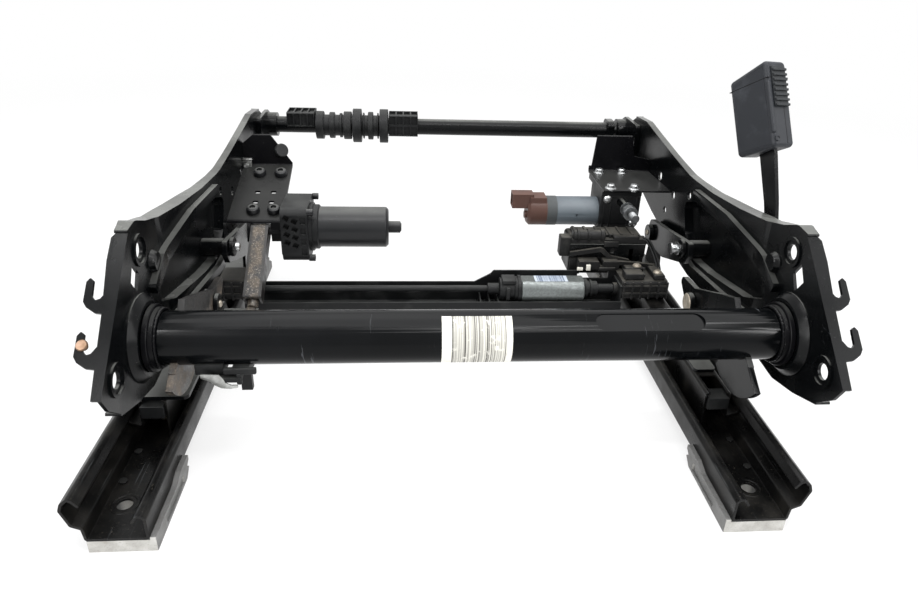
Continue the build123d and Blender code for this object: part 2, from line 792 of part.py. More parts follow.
# Bracket on the left member that carries the lift motor
def right_hand(x):
    """Place on the right that mirrors a place on the left of the seat frame."""
    return 2 * frame_shift - x


def lift_motor_bracket():
    near = right_hand(lift_cheek_x)
    far = member_face
    skirt_y = swing_y - 2
    path = [(skirt_y, 101), (skirt_y, 121), (387, 152), (387, 184)]
    sheet = push_x(strip(path, plate_wall, 3), near, far)
    taper = prism_y([(near - 1, 153), (near + 22, 186), (near - 1, 186)], 380, 392)
    taper = taper + prism_y([(near + 38, 186), (far + 1, 160), (far + 1, 186)], 380, 392)
    notch_x = right_hand(rod_x)
    notch = box(notch_x - channel_half - 2, far + 5, skirt_y - 5, skirt_y + 5, 95, 119.5)
    cheek_outline = [(skirt_y, 84), (skirt_y, 121), (345, 136), (352, 120), (345, 84)]
    cheek = prism_x(cheek_outline, near, near + ear_wall, 3)
    outer = notch_x + channel_half + touch_gap
    ear = prism_x([
        (skirt_y - 9, 102), (skirt_y - 4, 116), (skirt_y, 121), (skirt_y + 16, 126), (skirt_y + 16, 100),
    ], outer, outer + ear_wall, 2)
    pin = bar_x(near + 1, outer + ear_wall, swing_y, swing_z, rod_pin_radius)
    sheet = sheet - taper - notch
    slot_plane = Plane(origin=(0, 340, 135), x_dir=(1, 0, 0), z_dir=(0, -0.336, 0.942))
    for x in (near + 14, near + 30):
        for along in (-14, 2):
            slot = extrude(slot_plane * Pos(x, along) * SlotOverall(6, 4), amount=8, both=True)
            sheet = sheet - slot
    return mirrored(inside_frame(sheet + cheek + ear + pin), frame_shift)


nodes["lift_motor_bracket"] = lift_motor_bracket()


# Lift motor and its gearbox
def lift_gearbox():
    x0 = lift_cheek_x
    y, z = lift_motor_y, lift_motor_z
    half = lift_motor_radius + 7.5
    case = box(x0, x0 + 26, y - half, y + half, z - half, z + half)
    case = fillet(case.edges().filter_by(Axis.X), 9)
    collar = bar_x(x0 + 26, x0 + 29, y, z, lift_motor_radius + 4)
    for column in range(2):
        for row in range(4):
            window = Pos(x0 + 5.5 + 8 * column, y - half, z + 19 - 8.5 * row - 3 * column) * Rot(0, 30, 0)
            case = case - window * Box(5.5, 9, 5.5)
    for row in range(4):
        step = box(x0 + 19, x0 + 24, y - half - 1, y - half + 2, z - 20 + 11 * row, z - 13 + 11 * row)
        case = case - step
    return case + collar


def lift_motor_can():
    first = lift_cheek_x + 29
    body = bar_x(first, first + 75, lift_motor_y, lift_motor_z, lift_motor_radius)
    body = chamfer(body.edges().sort_by(Axis.X)[-1], 2.5)
    return body + bar_x(first + 75, first + 87, lift_motor_y, lift_motor_z, 6)


nodes["lift_gearbox"] = lift_gearbox()
nodes["lift_motor_can"] = lift_motor_can()


# Bracket on the right member that carries the tilt motor
def tilt_bracket():
    low = tilt_plate_z
    path = [(338, low + plate_wall / 2), (408, low + plate_wall / 2), (408, tilt_plate_z + 42)]
    sheet = push_x(strip(path, plate_wall, 3), tilt_case_x0, member_face)
    left = tilt_case_x0 - 1
    spare = prism_y([(left, low + 8), (left + 4, low + 8), (left + 8, 200), (left, 200)], 400, 412)
    far = member_face
    spare = spare + prism_y([(222, 200), (229, low + 20), (far, low + 12), (far, 200)], 400, 412)
    return inside_frame(sheet - spare)


def tilt_gearbox():
    flange = box(tilt_case_x0, tilt_case_x1, 341, 402, tilt_plate_z - 5, tilt_plate_z)
    body = prism_x([
        (342, 104), (350, 97), (374, 97), (386, 110), (386, tilt_plate_z - 4), (342, tilt_plate_z - 4),
    ], tilt_case_x0, tilt_case_x1, 3)
    return flange + body - bar_y(330, 410, tilt_x, tilt_screw_z, tilt_screw_radius + 0.3)


def tilt_motor_can():
    body = bar_x(tilt_cap_end, tilt_case_x0, tilt_motor_y, tilt_motor_z, tilt_motor_radius)
    front = tilt_motor_y - tilt_motor_radius
    return body - bar_y(front - 2, front + 2, 154, tilt_motor_z, 1.5)


def tilt_motor_cap():
    y, z = tilt_motor_y, tilt_motor_z
    start = tilt_cap_end - 21
    cap = bar_x(start, tilt_cap_end, y, z, tilt_motor_radius + 0.3)
    cap = chamfer(cap.edges().sort_by(Axis.X)[0], 3)
    crown = box(start + 2, tilt_cap_end - 1, y - 11, y + 9, z, z + tilt_motor_radius + 2)
    socket = box(start - 17, start + 6, y - 9, y + 7, z + 5, z + tilt_motor_radius + 5)
    socket = socket - box(start - 18, start - 10, y - 7.5, y + 5.5, z + 6.5, z + tilt_motor_radius + 3.5)
    knob = bar_x(start - 3, start + 1, y - 5, z - 3, 4)
    return cap + crown + socket + knob


nodes["tilt_bracket"] = tilt_bracket()
nodes["tilt_gearbox"] = tilt_gearbox()
nodes["tilt_motor_can"] = tilt_motor_can()
nodes["tilt_motor_cap"] = tilt_motor_cap()


# Tilt screw with the fork that moves the crank
crank_pin_y = front_tube_y
crank_reach = front_tube_z - tilt_screw_z


def tilt_screw():
    """Screw whose front end carries a fork that stands to its right."""
    z = tilt_screw_z
    joint_y = crank_pin_y - 70
    screw = bar_y(300, joint_y + 4, tilt_x, z, tilt_screw_radius)
    nut = bar_y(304, 311, tilt_x, z, 7.5)
    bridge = box(tilt_x - 7, crank_x + 11, joint_y, joint_y + 16, z - 9, z + 9)
    fork = box(crank_x - 11, crank_x + 11, joint_y + 15, crank_pin_y + 8, z - 9, z + 9)
    gap = crank_half + 1
    fork = fork - box(crank_x - gap, crank_x + gap, joint_y + 24, crank_pin_y + 20, z - 20, z + 20)
    slot = box(crank_x - 12, crank_x + 12, crank_pin_y - 4.3, crank_pin_y + 4.3, z - 4.5, z + 5.5)
    return screw + nut + bridge + fork - slot


nodes["tilt_screw"] = tilt_screw()


# Front tube, which tilts the seat's front edge, in its bushes
def front_tube():
    x0 = frame_shift - front_tube_half
    x1 = frame_shift + front_tube_half
    hollow = bar_x(x0 - 1, x1 + 1, front_tube_y, front_tube_z, front_tube_radius - 2)
    return bar_x(x0, x1, front_tube_y, front_tube_z, front_tube_radius) - hollow


def front_bush():
    end = frame_shift + front_tube_half
    ring = bar_x(end - 6, member_face, front_tube_y, front_tube_z, front_tube_radius + 4.5)
    y, z = front_tube_y, front_tube_z
    plate = prism_x([(y - 46, z - 29), (y - 14, z - 19), (y + 14, z - 11), (y + 14, z + 11), (y + 2, z + 17),
                     (y - 46, z + 17)], end + 5, member_face, 5)
    return inside_frame(ring + plate) - bar_x(end - 10, end + 1, front_tube_y, front_tube_z,
                                              front_tube_radius + running_gap)


def tube_place(offset):
    """Place across the seat, counted from the left end of the front tube."""
    return frame_shift - front_tube_half + offset


def on_tube(shape):
    """Piece bored to fit the front tube."""
    bore = front_tube_radius + 0.02
    return shape - bar_x(tube_place(-9), tube_place(441), front_tube_y, front_tube_z, bore)


def tilt_crank():
    arm = prism_x([
        (front_tube_y - 13, front_tube_z + 13), (front_tube_y + 13, front_tube_z + 13),
        (crank_pin_y + 9, tilt_screw_z - 9), (crank_pin_y - 9, tilt_screw_z - 9),
    ], crank_x - crank_half, crank_x + crank_half, 7)
    pin = bar_x(crank_x - 12, crank_x + 12, crank_pin_y, tilt_screw_z, 4)
    return on_tube(arm) + pin


def lattice_block(x0, x1, low, high, half):
    """Plastic block on the tube whose rear and top are divided into open cells."""
    y, z = front_tube_y, front_tube_z
    block = box(x0, x1, y - half, y + half, z + low, z + high)
    block = fillet(block.edges().filter_by(Axis.X).group_by(Axis.Z)[-1], 2)
    columns = round((x1 - x0) / 8.5)
    pitch = (x1 - x0) / columns
    rows = 2 if high - low > 20 else 1
    rise = (high - low) / rows
    for step in range(columns):
        first = x0 + step * pitch + 0.8
        last = first + pitch - 1.6
        for row in range(rows):
            floor = z + low + row * rise
            block = block - box(first, last, y - half - 1, y - half + 3, floor + 1.2, floor + rise - 1.2)
        block = block - box(first, last, y - half + 4, y + half - 4, z + high - 3, z + high + 1)
    return on_tube(block)


def roller(x0, x1, rim, waist, rim_width, fins=()):
    """Plastic roller with a rim at both ends and thinner fins between them."""
    body = bar_x(x0, x1, front_tube_y, front_tube_z, waist)
    for start in (x0, x1 - rim_width):
        body = body + bar_x(start, start + rim_width, front_tube_y, front_tube_z, rim)
    for start, width, radius in fins:
        body = body + bar_x(x0 + start, x0 + start + width, front_tube_y, front_tube_z, radius)
    return on_tube(body)


nodes["front_cross_tube"] = front_tube()
nodes["front_bushes"] = group([front_bush(), mirrored(front_bush(), frame_shift)])
nodes["tilt_crank"] = tilt_crank()
nodes["hook_block"] = lattice_block(tube_place(19), tube_place(51), 1, 17.5, 15)
nodes["front_roller"] = roller(tube_place(52), tube_place(94), 16.5, 12.5, 9, ((16, 6, 15.5), (28, 3, 14.5)))
nodes["front_bobbin"] = roller(tube_place(96), tube_place(138), 20, 12.5, 10,
                               ((12, 1.5, 15.5), (18, 6, 16.5), (29, 1.5, 15.5)))
nodes["ribbed_block"] = lattice_block(tube_place(139), tube_place(174), -9, 16, 13.5)


# Buckle on its strap, which turns on a bolt through the right member
def buckle_bolt():
    """Bolt that stands out past the member's upper flange."""
    y, z = buckle_bolt_y, buckle_bolt_z
    clear = member_face + plate_wall + top_flange_width + 2
    shoulder = bar_x(member_face - 8, clear, y, z, 9) - member_band(-40, plate_wall)
    stem = bar_x(clear - 1, clear + 6, y, z, pin_radius)
    head = bar_x(clear + 3 + 2 * touch_gap, clear + 7, y, z, 9)
    return shoulder + stem + head


def buckle_stalk():
    x0 = member_face + plate_wall + top_flange_width + 2 + touch_gap + 1.5
    rise = Vector(0, buckle_foot[1] - buckle_bolt_y, buckle_foot[2] - buckle_bolt_z)
    flat = Plane(origin=(0, buckle_bolt_y, buckle_bolt_z), x_dir=(1, 0, 0),
                 z_dir=Vector(1, 0, 0).cross(rise))
    x1 = buckle_foot[0] + 1
    path = [(x0, -12), (x0, 29), (x1, rise.length - 2), (x1, rise.length + 10)]
    strap = extrude(flat * strip(path, 3, 8), amount=11, both=True)
    return strap - bar_x(x0 - 5, x0 + 5, buckle_bolt_y, buckle_bolt_z, pin_radius + running_gap)


def buckle_place():
    """Plane on the buckle's foot, its own X along the broad face and its Z up the buckle."""
    return Plane(origin=buckle_foot, x_dir=buckle_broad, z_dir=buckle_axis)


def buckle_housing():
    half = buckle_width / 2
    deep = buckle_thickness / 2
    side = Polygon((-half, 0), (half, 0), (half, buckle_height), (-half, buckle_height - 6.5), align=None)
    side = fillet(side.vertices(), 4)
    body = extrude(Plane.XZ * side, amount=deep, both=True)
    body = fillet(body.edges().filter_by(Axis.Z), 4)
    mouth = box(-half + 7, half - 6, -deep + 3, deep - 3, buckle_height - 18, buckle_height + 2)
    return body - mouth


def buckle_button():
    half = buckle_width / 2
    deep = buckle_thickness / 2
    gap = touch_gap
    return box(-half + 7 + gap, half - 6 - gap, -deep + 3 + gap, 1, buckle_height - 13, buckle_height - 6)


def buckle_pad():
    deep = buckle_thickness / 2
    half = buckle_width / 2
    low = buckle_height / 2 - 3
    high = buckle_height - 6
    pad = box(half, half + 3.5, -deep + 4, deep - 4, low, high)
    count = round((high - low) / 4.4)
    pitch = (high - low) / count
    for step in range(count):
        z = low + (step + 0.5) * pitch
        pad = pad - box(half + 1.8, half + 4, -deep, deep, z, z + pitch / 2)
    return pad


nodes["buckle_bolt"] = buckle_bolt()
nodes["buckle_stalk"] = buckle_stalk()
nodes["buckle_housing"] = buckle_place() * buckle_housing() - buckle_stalk()
nodes["buckle_button"] = buckle_place() * buckle_button()
nodes["buckle_pad"] = buckle_place() * buckle_pad()

for name, shape in nodes.items():
    shape.label = name

if __name__ == "__main__":
    os.makedirs("parts", exist_ok=True)
    for name, shape in nodes.items():
        export_step(Pos(0, -rail_length / 2, 0) * shape, "parts/" + name + ".step")
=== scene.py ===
import json
from math import atan2, cos, pi, radians, sin

import bmesh
import bpy
from mathutils import Matrix, Vector


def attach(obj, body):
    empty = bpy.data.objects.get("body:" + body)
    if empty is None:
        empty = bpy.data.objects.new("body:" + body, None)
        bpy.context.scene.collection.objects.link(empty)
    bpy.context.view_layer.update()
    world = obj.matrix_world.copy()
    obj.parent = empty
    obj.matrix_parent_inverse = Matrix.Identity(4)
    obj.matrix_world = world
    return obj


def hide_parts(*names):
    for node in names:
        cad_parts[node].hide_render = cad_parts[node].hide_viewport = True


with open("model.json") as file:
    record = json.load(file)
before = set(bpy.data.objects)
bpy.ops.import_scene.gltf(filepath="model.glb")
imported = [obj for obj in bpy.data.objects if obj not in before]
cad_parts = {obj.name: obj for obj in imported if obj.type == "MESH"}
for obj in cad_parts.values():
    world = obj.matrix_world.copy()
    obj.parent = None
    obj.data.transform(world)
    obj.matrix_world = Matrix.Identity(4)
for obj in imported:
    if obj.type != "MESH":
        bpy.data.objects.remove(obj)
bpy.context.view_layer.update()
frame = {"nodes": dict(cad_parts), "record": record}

bl_info = {
    "name": "Powered seat base",
    "version": (1, 0, 0),
    "blender": (4, 5, 0),
    "location": "3D View > Sidebar > Seat base",
    "description": "Dresses a powered seat base on slide rails and sets it on a pale floor",
    "category": "Object",
}

MM = 0.001

# Photograph's frame and the camera that fits it
IMAGE_WIDTH = 918
IMAGE_HEIGHT = 610
FOCAL_PIXELS = 700.0
CENTRE_PIXEL = (466.39, 282.26)
CAMERA_PLACE = (-30.65, -583.39, 380.20)
CAMERA_PITCH = radians(26.26)
CAMERA_YAW = radians(5.45)
CAMERA_ROLL = radians(-2.39)

# Directions
ACROSS = (1, 0, 0)
BACK_ACROSS = (-1, 0, 0)
FORWARD = (0, 1, 0)
BACKWARD = (0, -1, 0)
UPWARD = (0, 0, 1)

# Places in the seat base, in millimetres, from the middle of the floor bolts
MIDDLE_X = 23.0
TUBE_Y = -129.0
TUBE_Z = 110.0
TUBE_RADIUS = 20.0
WELD_X = 252.9
SLIDE_MOTOR_Y = 54.0
SLIDE_MOTOR_Z = 57.0
LIFT_MOTOR_Y = 90.0
LIFT_MOTOR_Z = 110.0
TILT_MOTOR_Y = 135.0
TILT_MOTOR_Z = 113.0
TILT_SCREW_X = 200.0
TILT_SCREW_Z = 130.0
FORK_START = 98.0
LIFT_CHANNEL_X = -175.0
FRAME_STUD_Y = 31.0
FRAME_STUD_Z = 113.0
REAR_PIN_Y = -39.0
REAR_PIN_Z = 90.0
FRONT_PIN_Y = 121.0
FRONT_PIN_Z = 93.0

# Side member: its flange's inner edge, its back lip's inner edge and its diamond hole
OUTSIDE_X = 320
FLANGE_EDGE = ((279, -105), (281, -70), (279, -45), (276, -20), (271.5, 5), (266.4, 30), (262, 55),
               (259.8, 80), (258.5, 105), (255, 205), (253.6, 245))
FLANGE_HEIGHTS = (166, 216)
VISOR_EDGE = ((275, -131), (277.3, -113), (278.9, -105))
VISOR_HEIGHTS = (188.4, 200)
DIAMOND = ((-124, 144.5), (-116, 156), (-124, 167.5), (-132, 156))
DIAMOND_DEPTH = (261, 275)

# Sloping plate over the lift motor, and its screws
LIFT_PLATE_UP = (0.0, -0.336, 0.942)
LIFT_PLATE_Y = 75.0
LIFT_PLATE_Z = 122.8
LIFT_PLATE_SLOPE = 0.356
LIFT_SCREWS = ((-185.0, 144.5), (-163.0, 144.5), (-183.0, 87.5), (-162.5, 87.5))
TILT_PLATE_TOP = 144.5
TILT_BOLTS = ((188.0, 173.0), (214.0, 173.5), (187.0, 118.0), (212.0, 116.5))

# Buckle and its strap
BUCKLE_FOOT = (273.5, -22.5, 225.0)
BUCKLE_BOLT = (287.6, -40.0, 158.0)
BUCKLE_BROAD = (0.311, -0.818, 0.484)
BUCKLE_AXIS = (-0.090, 0.481, 0.872)
BUCKLE_WIDTH = 42.0
BUCKLE_DEPTH = 22.7
BUCKLE_HEIGHT = 73.0
BUCKLE_LID = 15.0
STRAP_BEND_START = 29.0
STRAP_BEND_END = 2.0
STRAP_SLOPE_START = 2.0
STRAP_SLOPE_END = 10.0
STRAP_LEAN = -13.1
STRAP_SIDE = 7.0
STRAP_HALF_WIDTH = 8.5
STRAP_WIDENS = 4.0

# Ribs of a screw gearbox: pitch, thickness and how many
RIB_PITCH = 9.0
RIB_THICKNESS = 2.2
RIB_COUNT = 6
GRID_START = 190.0
GRID_ENDS = (189.5, 236.5)
GRID_BARS = (57.0, 65.0)

# Outlines of round pieces, as pairs of height along the axis and radius
BUTTON_HEAD = ((-2, 0), (-2, 5.2), (0, 6.6), (2.4, 6.6), (4.4, 5.6), (5.4, 3.9), (5.4, 2.9), (3.2, 2.6),
               (3.0, 0))
ROUND_HEAD = ((-1, 0), (-1, 4.6), (0, 4.6), (1.2, 4.4), (2.4, 3.3), (3.0, 1.6), (3.1, 0))
SMALL_HEAD = ((-1, 0), (-1, 3.2), (0, 3.2), (0.8, 2.9), (1.5, 1.8), (1.7, 0))
FLANGE_HEAD = ((-1.5, 0), (-1.5, 6.2), (0, 6.4), (1.0, 6.2), (1.8, 4.6), (4.4, 4.3), (5.4, 3.4), (5.6, 0))
RIVET_CAP = ((-0.6, 0), (-0.6, 8.2), (0, 8.4), (0.8, 7.8), (1.0, 3.2), (0.6, 2.6), (0.6, 0))
HOOK_PIN = ((-3.0, 0), (-3.0, 2.6), (0, 2.6), (0, 3.7), (1.2, 3.9), (2.2, 3.3), (2.6, 0))
RUBBER_STOP = ((-9, 0), (-9, 6.0), (3, 6.2), (4, 7.4), (8, 7.4), (9.4, 6.4), (9.4, 0))
RIGHT_STUD = ((-2, 0), (-2, 4.2), (2, 4.2), (2, 6.6), (3.2, 6.8), (3.6, 4.2), (8.0, 4.0), (8.0, 5.8),
              (9.6, 5.6), (10.2, 0))
LEFT_STUD = ((-2, 0), (-2, 4.2), (0, 4.2), (1.4, 3.8), (2.2, 0))
WIDE_WASHER = ((0, 4.3), (0, 7.2), (1.4, 7.2), (1.4, 4.3), (0, 4.3))
NARROW_WASHER = ((0, 4.3), (0, 6.4), (1.4, 6.4), (1.4, 4.3), (0, 4.3))
TILT_SLEEVE = ((121.5, 15.6), (121.5, 16.1), (132.5, 16.1), (132.5, 15.6))
LIFT_EAR = ((0, 0), (0, 3.4), (6, 3.4), (6, 2.0), (4.6, 2.0), (4.6, 0))
LIFT_HOOP = ((0, 20.4), (0, 22.6), (5, 22.6), (6, 21.4), (6, 20.4))
LIFT_TIP = ((0, 0), (0, 4.6), (1.6, 4.8), (2.2, 3.4), (2.2, 0))
SLIDE_RINGS = ((82.5, ((0, 11.0), (0, 14.2), (3.0, 14.2), (3.0, 11.0))),
               (152.0, ((0, 5.4), (0, 10.4), (3.0, 10.4), (3.0, 5.4))),
               (158.0, ((0, 5.2), (0, 9.4), (2.0, 9.4), (2.0, 5.2))))
UNIT_SOCKET = ((0, 0), (0, 6.0), (3.4, 6.0), (3.6, 4.4), (6.2, 4.2), (6.6, 3.6), (6.6, 0))
BUCKLE_RIVET = ((-1, 0), (-1, 2.4), (0.9, 2.4), (1.1, 1.8), (0.5, 1.2), (0.5, 0))
COLLAR = ((253.7, 20.05), (253.7, 22.2), (254.0, 22.6), (256.6, 22.8), (256.8, 24.5), (257.3, 25.0),
          (260.2, 25.0), (260.7, 24.5), (260.7, 20.05), (253.7, 20.05))
CAPACITOR = ((143.0, 0), (143.0, 5.0), (144.0, 6.0), (147.0, 6.0), (147.4, 7.2), (149.4, 7.2), (149.8, 6.0),
             (158.0, 6.0), (158.4, 7.2), (160.4, 7.2), (160.8, 6.0), (172.0, 6.0), (172.4, 7.0),
             (176.0, 7.0), (177.0, 6.0), (177.0, 0))

# Outlines of flat pieces seen from behind, as pairs of X and Z
UPPER_ARM = ((140.0, 84.0), (140.0, 88.5), (172.0, 93.5), (176.0, 92.0), (184.0, 84.5), (204.0, 80.0),
             (204.0, 75.8), (181.5, 80.6), (172.5, 88.8))
LOWER_ARM = ((168.0, 71.0), (168.0, 74.5), (192.0, 81.0), (212.0, 79.5), (228.0, 77.5), (228.0, 73.5),
             (211.0, 75.5), (193.0, 77.0))
SPRING_TONGUE = ((-178.0, 92.5), (-165.0, 92.0), (-162.0, 88.5), (-161.0, 85.0), (-157.0, 83.0),
                 (-152.5, 83.0), (-152.5, 80.8), (-158.0, 79.8), (-164.0, 80.4), (-168.5, 83.0),
                 (-172.0, 86.5), (-178.0, 89.0))

# Way of the first lead, from the control unit to the gearbox, and how far the second lies beside it
LEAD_ROUTE = ((218.0, 88.0, 98.0), (223.0, 86.0, 98.5), (227.0, 80.0, 92.0), (230.5, 71.0, 82.5),
              (232.0, 63.0, 74.0), (232.0, 60.0, 69.0))
LEAD_RADIUS = 1.3
LEAD_SPACING = 3.4

# Kinds of node that most finishes use
RANGE = "ShaderNodeMapRange"
MIX = "ShaderNodeMix"
MATH = "ShaderNodeMath"
PARTS = "ShaderNodeSeparateXYZ"


# Helpers for finishes
def rgba(code):
    """Turns an sRGB hex value into a linear colour with full cover."""
    parts = [int(code[start:start + 2], 16) / 255 for start in (1, 3, 5)]
    return (*(part / 12.92 if part <= 0.04045 else ((part + 0.055) / 1.055) ** 2.4 for part in parts), 1.0)


def put(tree, kind, values=(), output=0, **settings):
    """Adds a node, sets it up, gives its inputs values or links, and returns one of its outputs."""
    made = tree.nodes.new(kind)
    for name, value in settings.items():
        setattr(made, name, value)
    for name, value in values.items() if isinstance(values, dict) else enumerate(values):
        socket = made.inputs[name]
        if isinstance(value, bpy.types.NodeSocket):
            tree.links.new(value, socket)
        else:
            socket.default_value = value
    return made.outputs[output]


def surface(name):
    """New material with its shader and its Object coordinates."""
    material = bpy.data.materials.new(name)
    material.use_nodes = True
    tree = material.node_tree
    return material, tree, tree.nodes["Principled BSDF"], put(tree, "ShaderNodeTexCoord", output="Object")


def grain(tree, place, size_mm, detail=4.0, rough=0.55, stretch=(1, 1, 1)):
    """Cloudy pattern whose patches are about size_mm wide."""
    scaled = put(tree, "ShaderNodeMapping", {"Vector": place, "Scale": stretch})
    return put(tree, "ShaderNodeTexNoise", {
        "Vector": scaled, "Scale": 1000.0 / size_mm, "Detail": detail, "Roughness": rough}, "Fac")


def looks_up(tree, amount):
    """Share of a face that looks up, where dust settles and, on the dip coat, a painted highlight falls."""
    height = put(tree, PARTS, (put(tree, "ShaderNodeNewGeometry", output="Normal"),), "Z")
    return put(tree, RANGE, (height, 0.8, 0.99, 0.0, amount))


def layer(tree, below, above, pattern, low, high, most, least=0.0, within=None):
    """Lays a colour over another as a pattern rises from low to high, within a share if one is given."""
    share = put(tree, RANGE, (pattern, low, high, least, most))
    if within:
        share = put(tree, MATH, (share, within), operation="MULTIPLY")
    return put(tree, MIX, {0: share, 6: below, 7: rgba(above)}, 2, data_type="RGBA")


def shade(tree, shader, colour, gloss, height, depth_mm, strength):
    """Gives the shader its colour, a roughness that follows a pattern's range, and relief from a pattern."""
    tree.links.new(colour, shader.inputs["Base Color"])
    tree.links.new(put(tree, RANGE, gloss), shader.inputs["Roughness"])
    bump = put(tree, "ShaderNodeBump", {
        "Height": height, "Distance": depth_mm * MM, "Strength": strength}, "Normal")
    tree.links.new(bump, shader.inputs["Normal"])


# Finishes
def dip_coat(name, base, sheen, dust, specular):
    """Electrophoretic black paint: deep, even and glossy, with fine rub marks, and a pale layer on top that
    is partly dust and partly painted highlight.
    """
    material, tree, shader, place = surface(name)
    cloud = grain(tree, place, 55, 5)
    # Pale patches on faces that look up: partly dust, partly a painted highlight of the light from above;
    # dust sets their share.
    colour = layer(tree, base, "#6e6f6c", cloud, 0.3, 0.62, 1.0, 0.35, looks_up(tree, dust))
    colour = layer(tree, colour, "#6a6b69", grain(tree, place, 1.6, 2), 0.7, 0.78, 0.3)
    rubs = grain(tree, place, 9, 6, 0.7, (1, 0.25, 1))
    colour = layer(tree, colour, "#4a4d50", rubs, 0.67, 0.74, 0.3)
    shader.inputs["Specular IOR Level"].default_value = specular
    gloss = (cloud, 0.3, 0.7, sheen - 0.05, sheen + 0.14)
    shade(tree, shader, colour, gloss, grain(tree, place, 2.2, 2), 0.05, 0.2)
    return material


def tube_coat():
    """The same black paint on smooth drawn tube: mirror-like, with short pale scratches across it."""
    material, tree, shader, place = surface("Black dip coat on drawn tube")
    cloud = grain(tree, place, 80, 4)
    colour = layer(tree, rgba("#040506"), "#121316", cloud, 0.45, 0.75, 0.3)
    scratches = grain(tree, place, 2.6, 3, 0.6, (1, 0.1, 0.1))
    scratched = put(tree, RANGE, (grain(tree, place, 45, 2), 0.55, 0.66, 0.0, 0.6))
    colour = layer(tree, colour, "#63666a", scratches, 0.62, 0.7, 0.8, within=scratched)
    shader.inputs["Specular IOR Level"].default_value = 0.13
    shade(tree, shader, colour, (cloud, 0.3, 0.7, 0.1, 0.22), grain(tree, place, 30, 2), 0.03, 0.15)
    return material


def worn_rail_coat():
    """Black dip coat on roll-formed rails, greasy and dirty, and scored along the travel."""
    material, tree, shader, place = surface("Worn black coat on rails")
    cloud = grain(tree, place, 30, 6)
    colour = layer(tree, rgba("#090909"), "#262421", cloud, 0.48, 0.72, 0.6)
    crumbs = grain(tree, place, 2.0, 4, 0.7)
    colour = layer(tree, colour, "#4d4942", crumbs, 0.6, 0.7, 0.7, within=looks_up(tree, 1.0))
    scores = grain(tree, place, 3, 4, 0.6, (1, 0.03, 1))
    colour = layer(tree, colour, "#55585a", scores, 0.64, 0.71, 0.45)
    shader.inputs["Specular IOR Level"].default_value = 0.2
    shade(tree, shader, colour, (cloud, 0.3, 0.7, 0.2, 0.5), crumbs, 0.12, 0.35)
    return material


def cast_foot():
    """Light-metal casting: pale, dull and grainy from the mould, brown-stained, with painted shade on its
    sides and top but not its ends.
    """
    material, tree, shader, place = surface("Sand-cast light metal feet")
    cloud = grain(tree, place, 14, 6)
    colour = layer(tree, rgba("#b9b8b4"), "#9b9994", cloud, 0.35, 0.7, 1.0)
    pits = grain(tree, place, 1.3, 3)
    colour = layer(tree, colour, "#77736b", pits, 0.56, 0.7, 0.4)
    colour = layer(tree, colour, "#7d7468", grain(tree, place, 20, 6, 0.65), 0.58, 0.7, 0.5)
    # Painted shade: faces that look sideways or up are darkened, the ends that face forward and back are
    # left light.
    painted_side_shade = put(tree, PARTS, (put(tree, "ShaderNodeNewGeometry", output="Normal"),), "Y")
    painted_side_shade = put(tree, MATH, (painted_side_shade,), operation="ABSOLUTE")
    colour = layer(tree, colour, "#47484a", painted_side_shade, 0.4, 0.9, 0.0, 0.75)
    shader.inputs["Metallic"].default_value = 0.35
    shade(tree, shader, colour, (cloud, 0.3, 0.7, 0.5, 0.7), pits, 0.25, 0.6)
    return material


def gritty_steel(name, coat, grit, share, pale, wet, dusty_below_mm=None, middle_mm=None):
    """Steel under old grease, with grit and brown dust stuck in it; the grit is drawn coarse, to show."""
    material, tree, shader, place = surface(name)
    cloud = grain(tree, place, 11, 7, 0.62)
    grains = grain(tree, place, 1.5, 4, 0.75)
    where = None
    if dusty_below_mm:
        height = put(tree, PARTS, (place,), "Z")
        where = put(tree, RANGE, (height, (dusty_below_mm - 6) * MM, (dusty_below_mm + 6) * MM, 1.0, 0.06))
    if middle_mm:
        off = put(tree, MATH, (put(tree, PARTS, (place,), "X"), middle_mm * MM), operation="SUBTRACT")
        off = put(tree, MATH, (off,), operation="ABSOLUTE")
        where = put(tree, RANGE, (off, 5.0 * MM, 6.5 * MM, 1.0, 0.08))
    colour = layer(tree, rgba(coat), grit, cloud, 0.42, 0.62, share, within=where)
    colour = layer(tree, colour, pale, grains, 0.54, 0.66, share * 0.9, within=where)
    shade(tree, shader, colour, (cloud, 0.35, 0.7, wet, wet + 0.4), grains, 0.3, 0.7)
    return material


def plated_steel(name="Zinc-plated steel", pale="#c3c5c6", dull="#8b8c8c", smooth=0.28, metal=1.0):
    """Bright plating on fasteners, softly mottled."""
    material, tree, shader, place = surface(name)
    cloud = grain(tree, place, 6, 4)
    colour = layer(tree, rgba(pale), dull, cloud, 0.35, 0.7, 1.0)
    shader.inputs["Metallic"].default_value = metal
    gloss = (cloud, 0.3, 0.7, smooth - 0.08, smooth + 0.15)
    shade(tree, shader, colour, gloss, grain(tree, place, 1.2, 2), 0.03, 0.3)
    return material


def spangled_can():
    """Galvanised can of a small motor, mottled by the crystals of hot zinc, drawn coarse, to show."""
    material, tree, shader, place = surface("Galvanised motor can")
    crystals = put(tree, "ShaderNodeTexVoronoi", {"Vector": place, "Scale": 1000.0 / 1.6}, "Color",
                   feature="F1")
    share = put(tree, PARTS, (crystals,), "X")
    colour = put(tree, MIX, {0: share, 6: rgba("#787d7c"), 7: rgba("#696d6c")}, 2, data_type="RGBA")
    shader.inputs["Metallic"].default_value = 0.6
    shade(tree, shader, colour, (share, 0.0, 1.0, 0.3, 0.5), share, 0.02, 0.2)
    return material


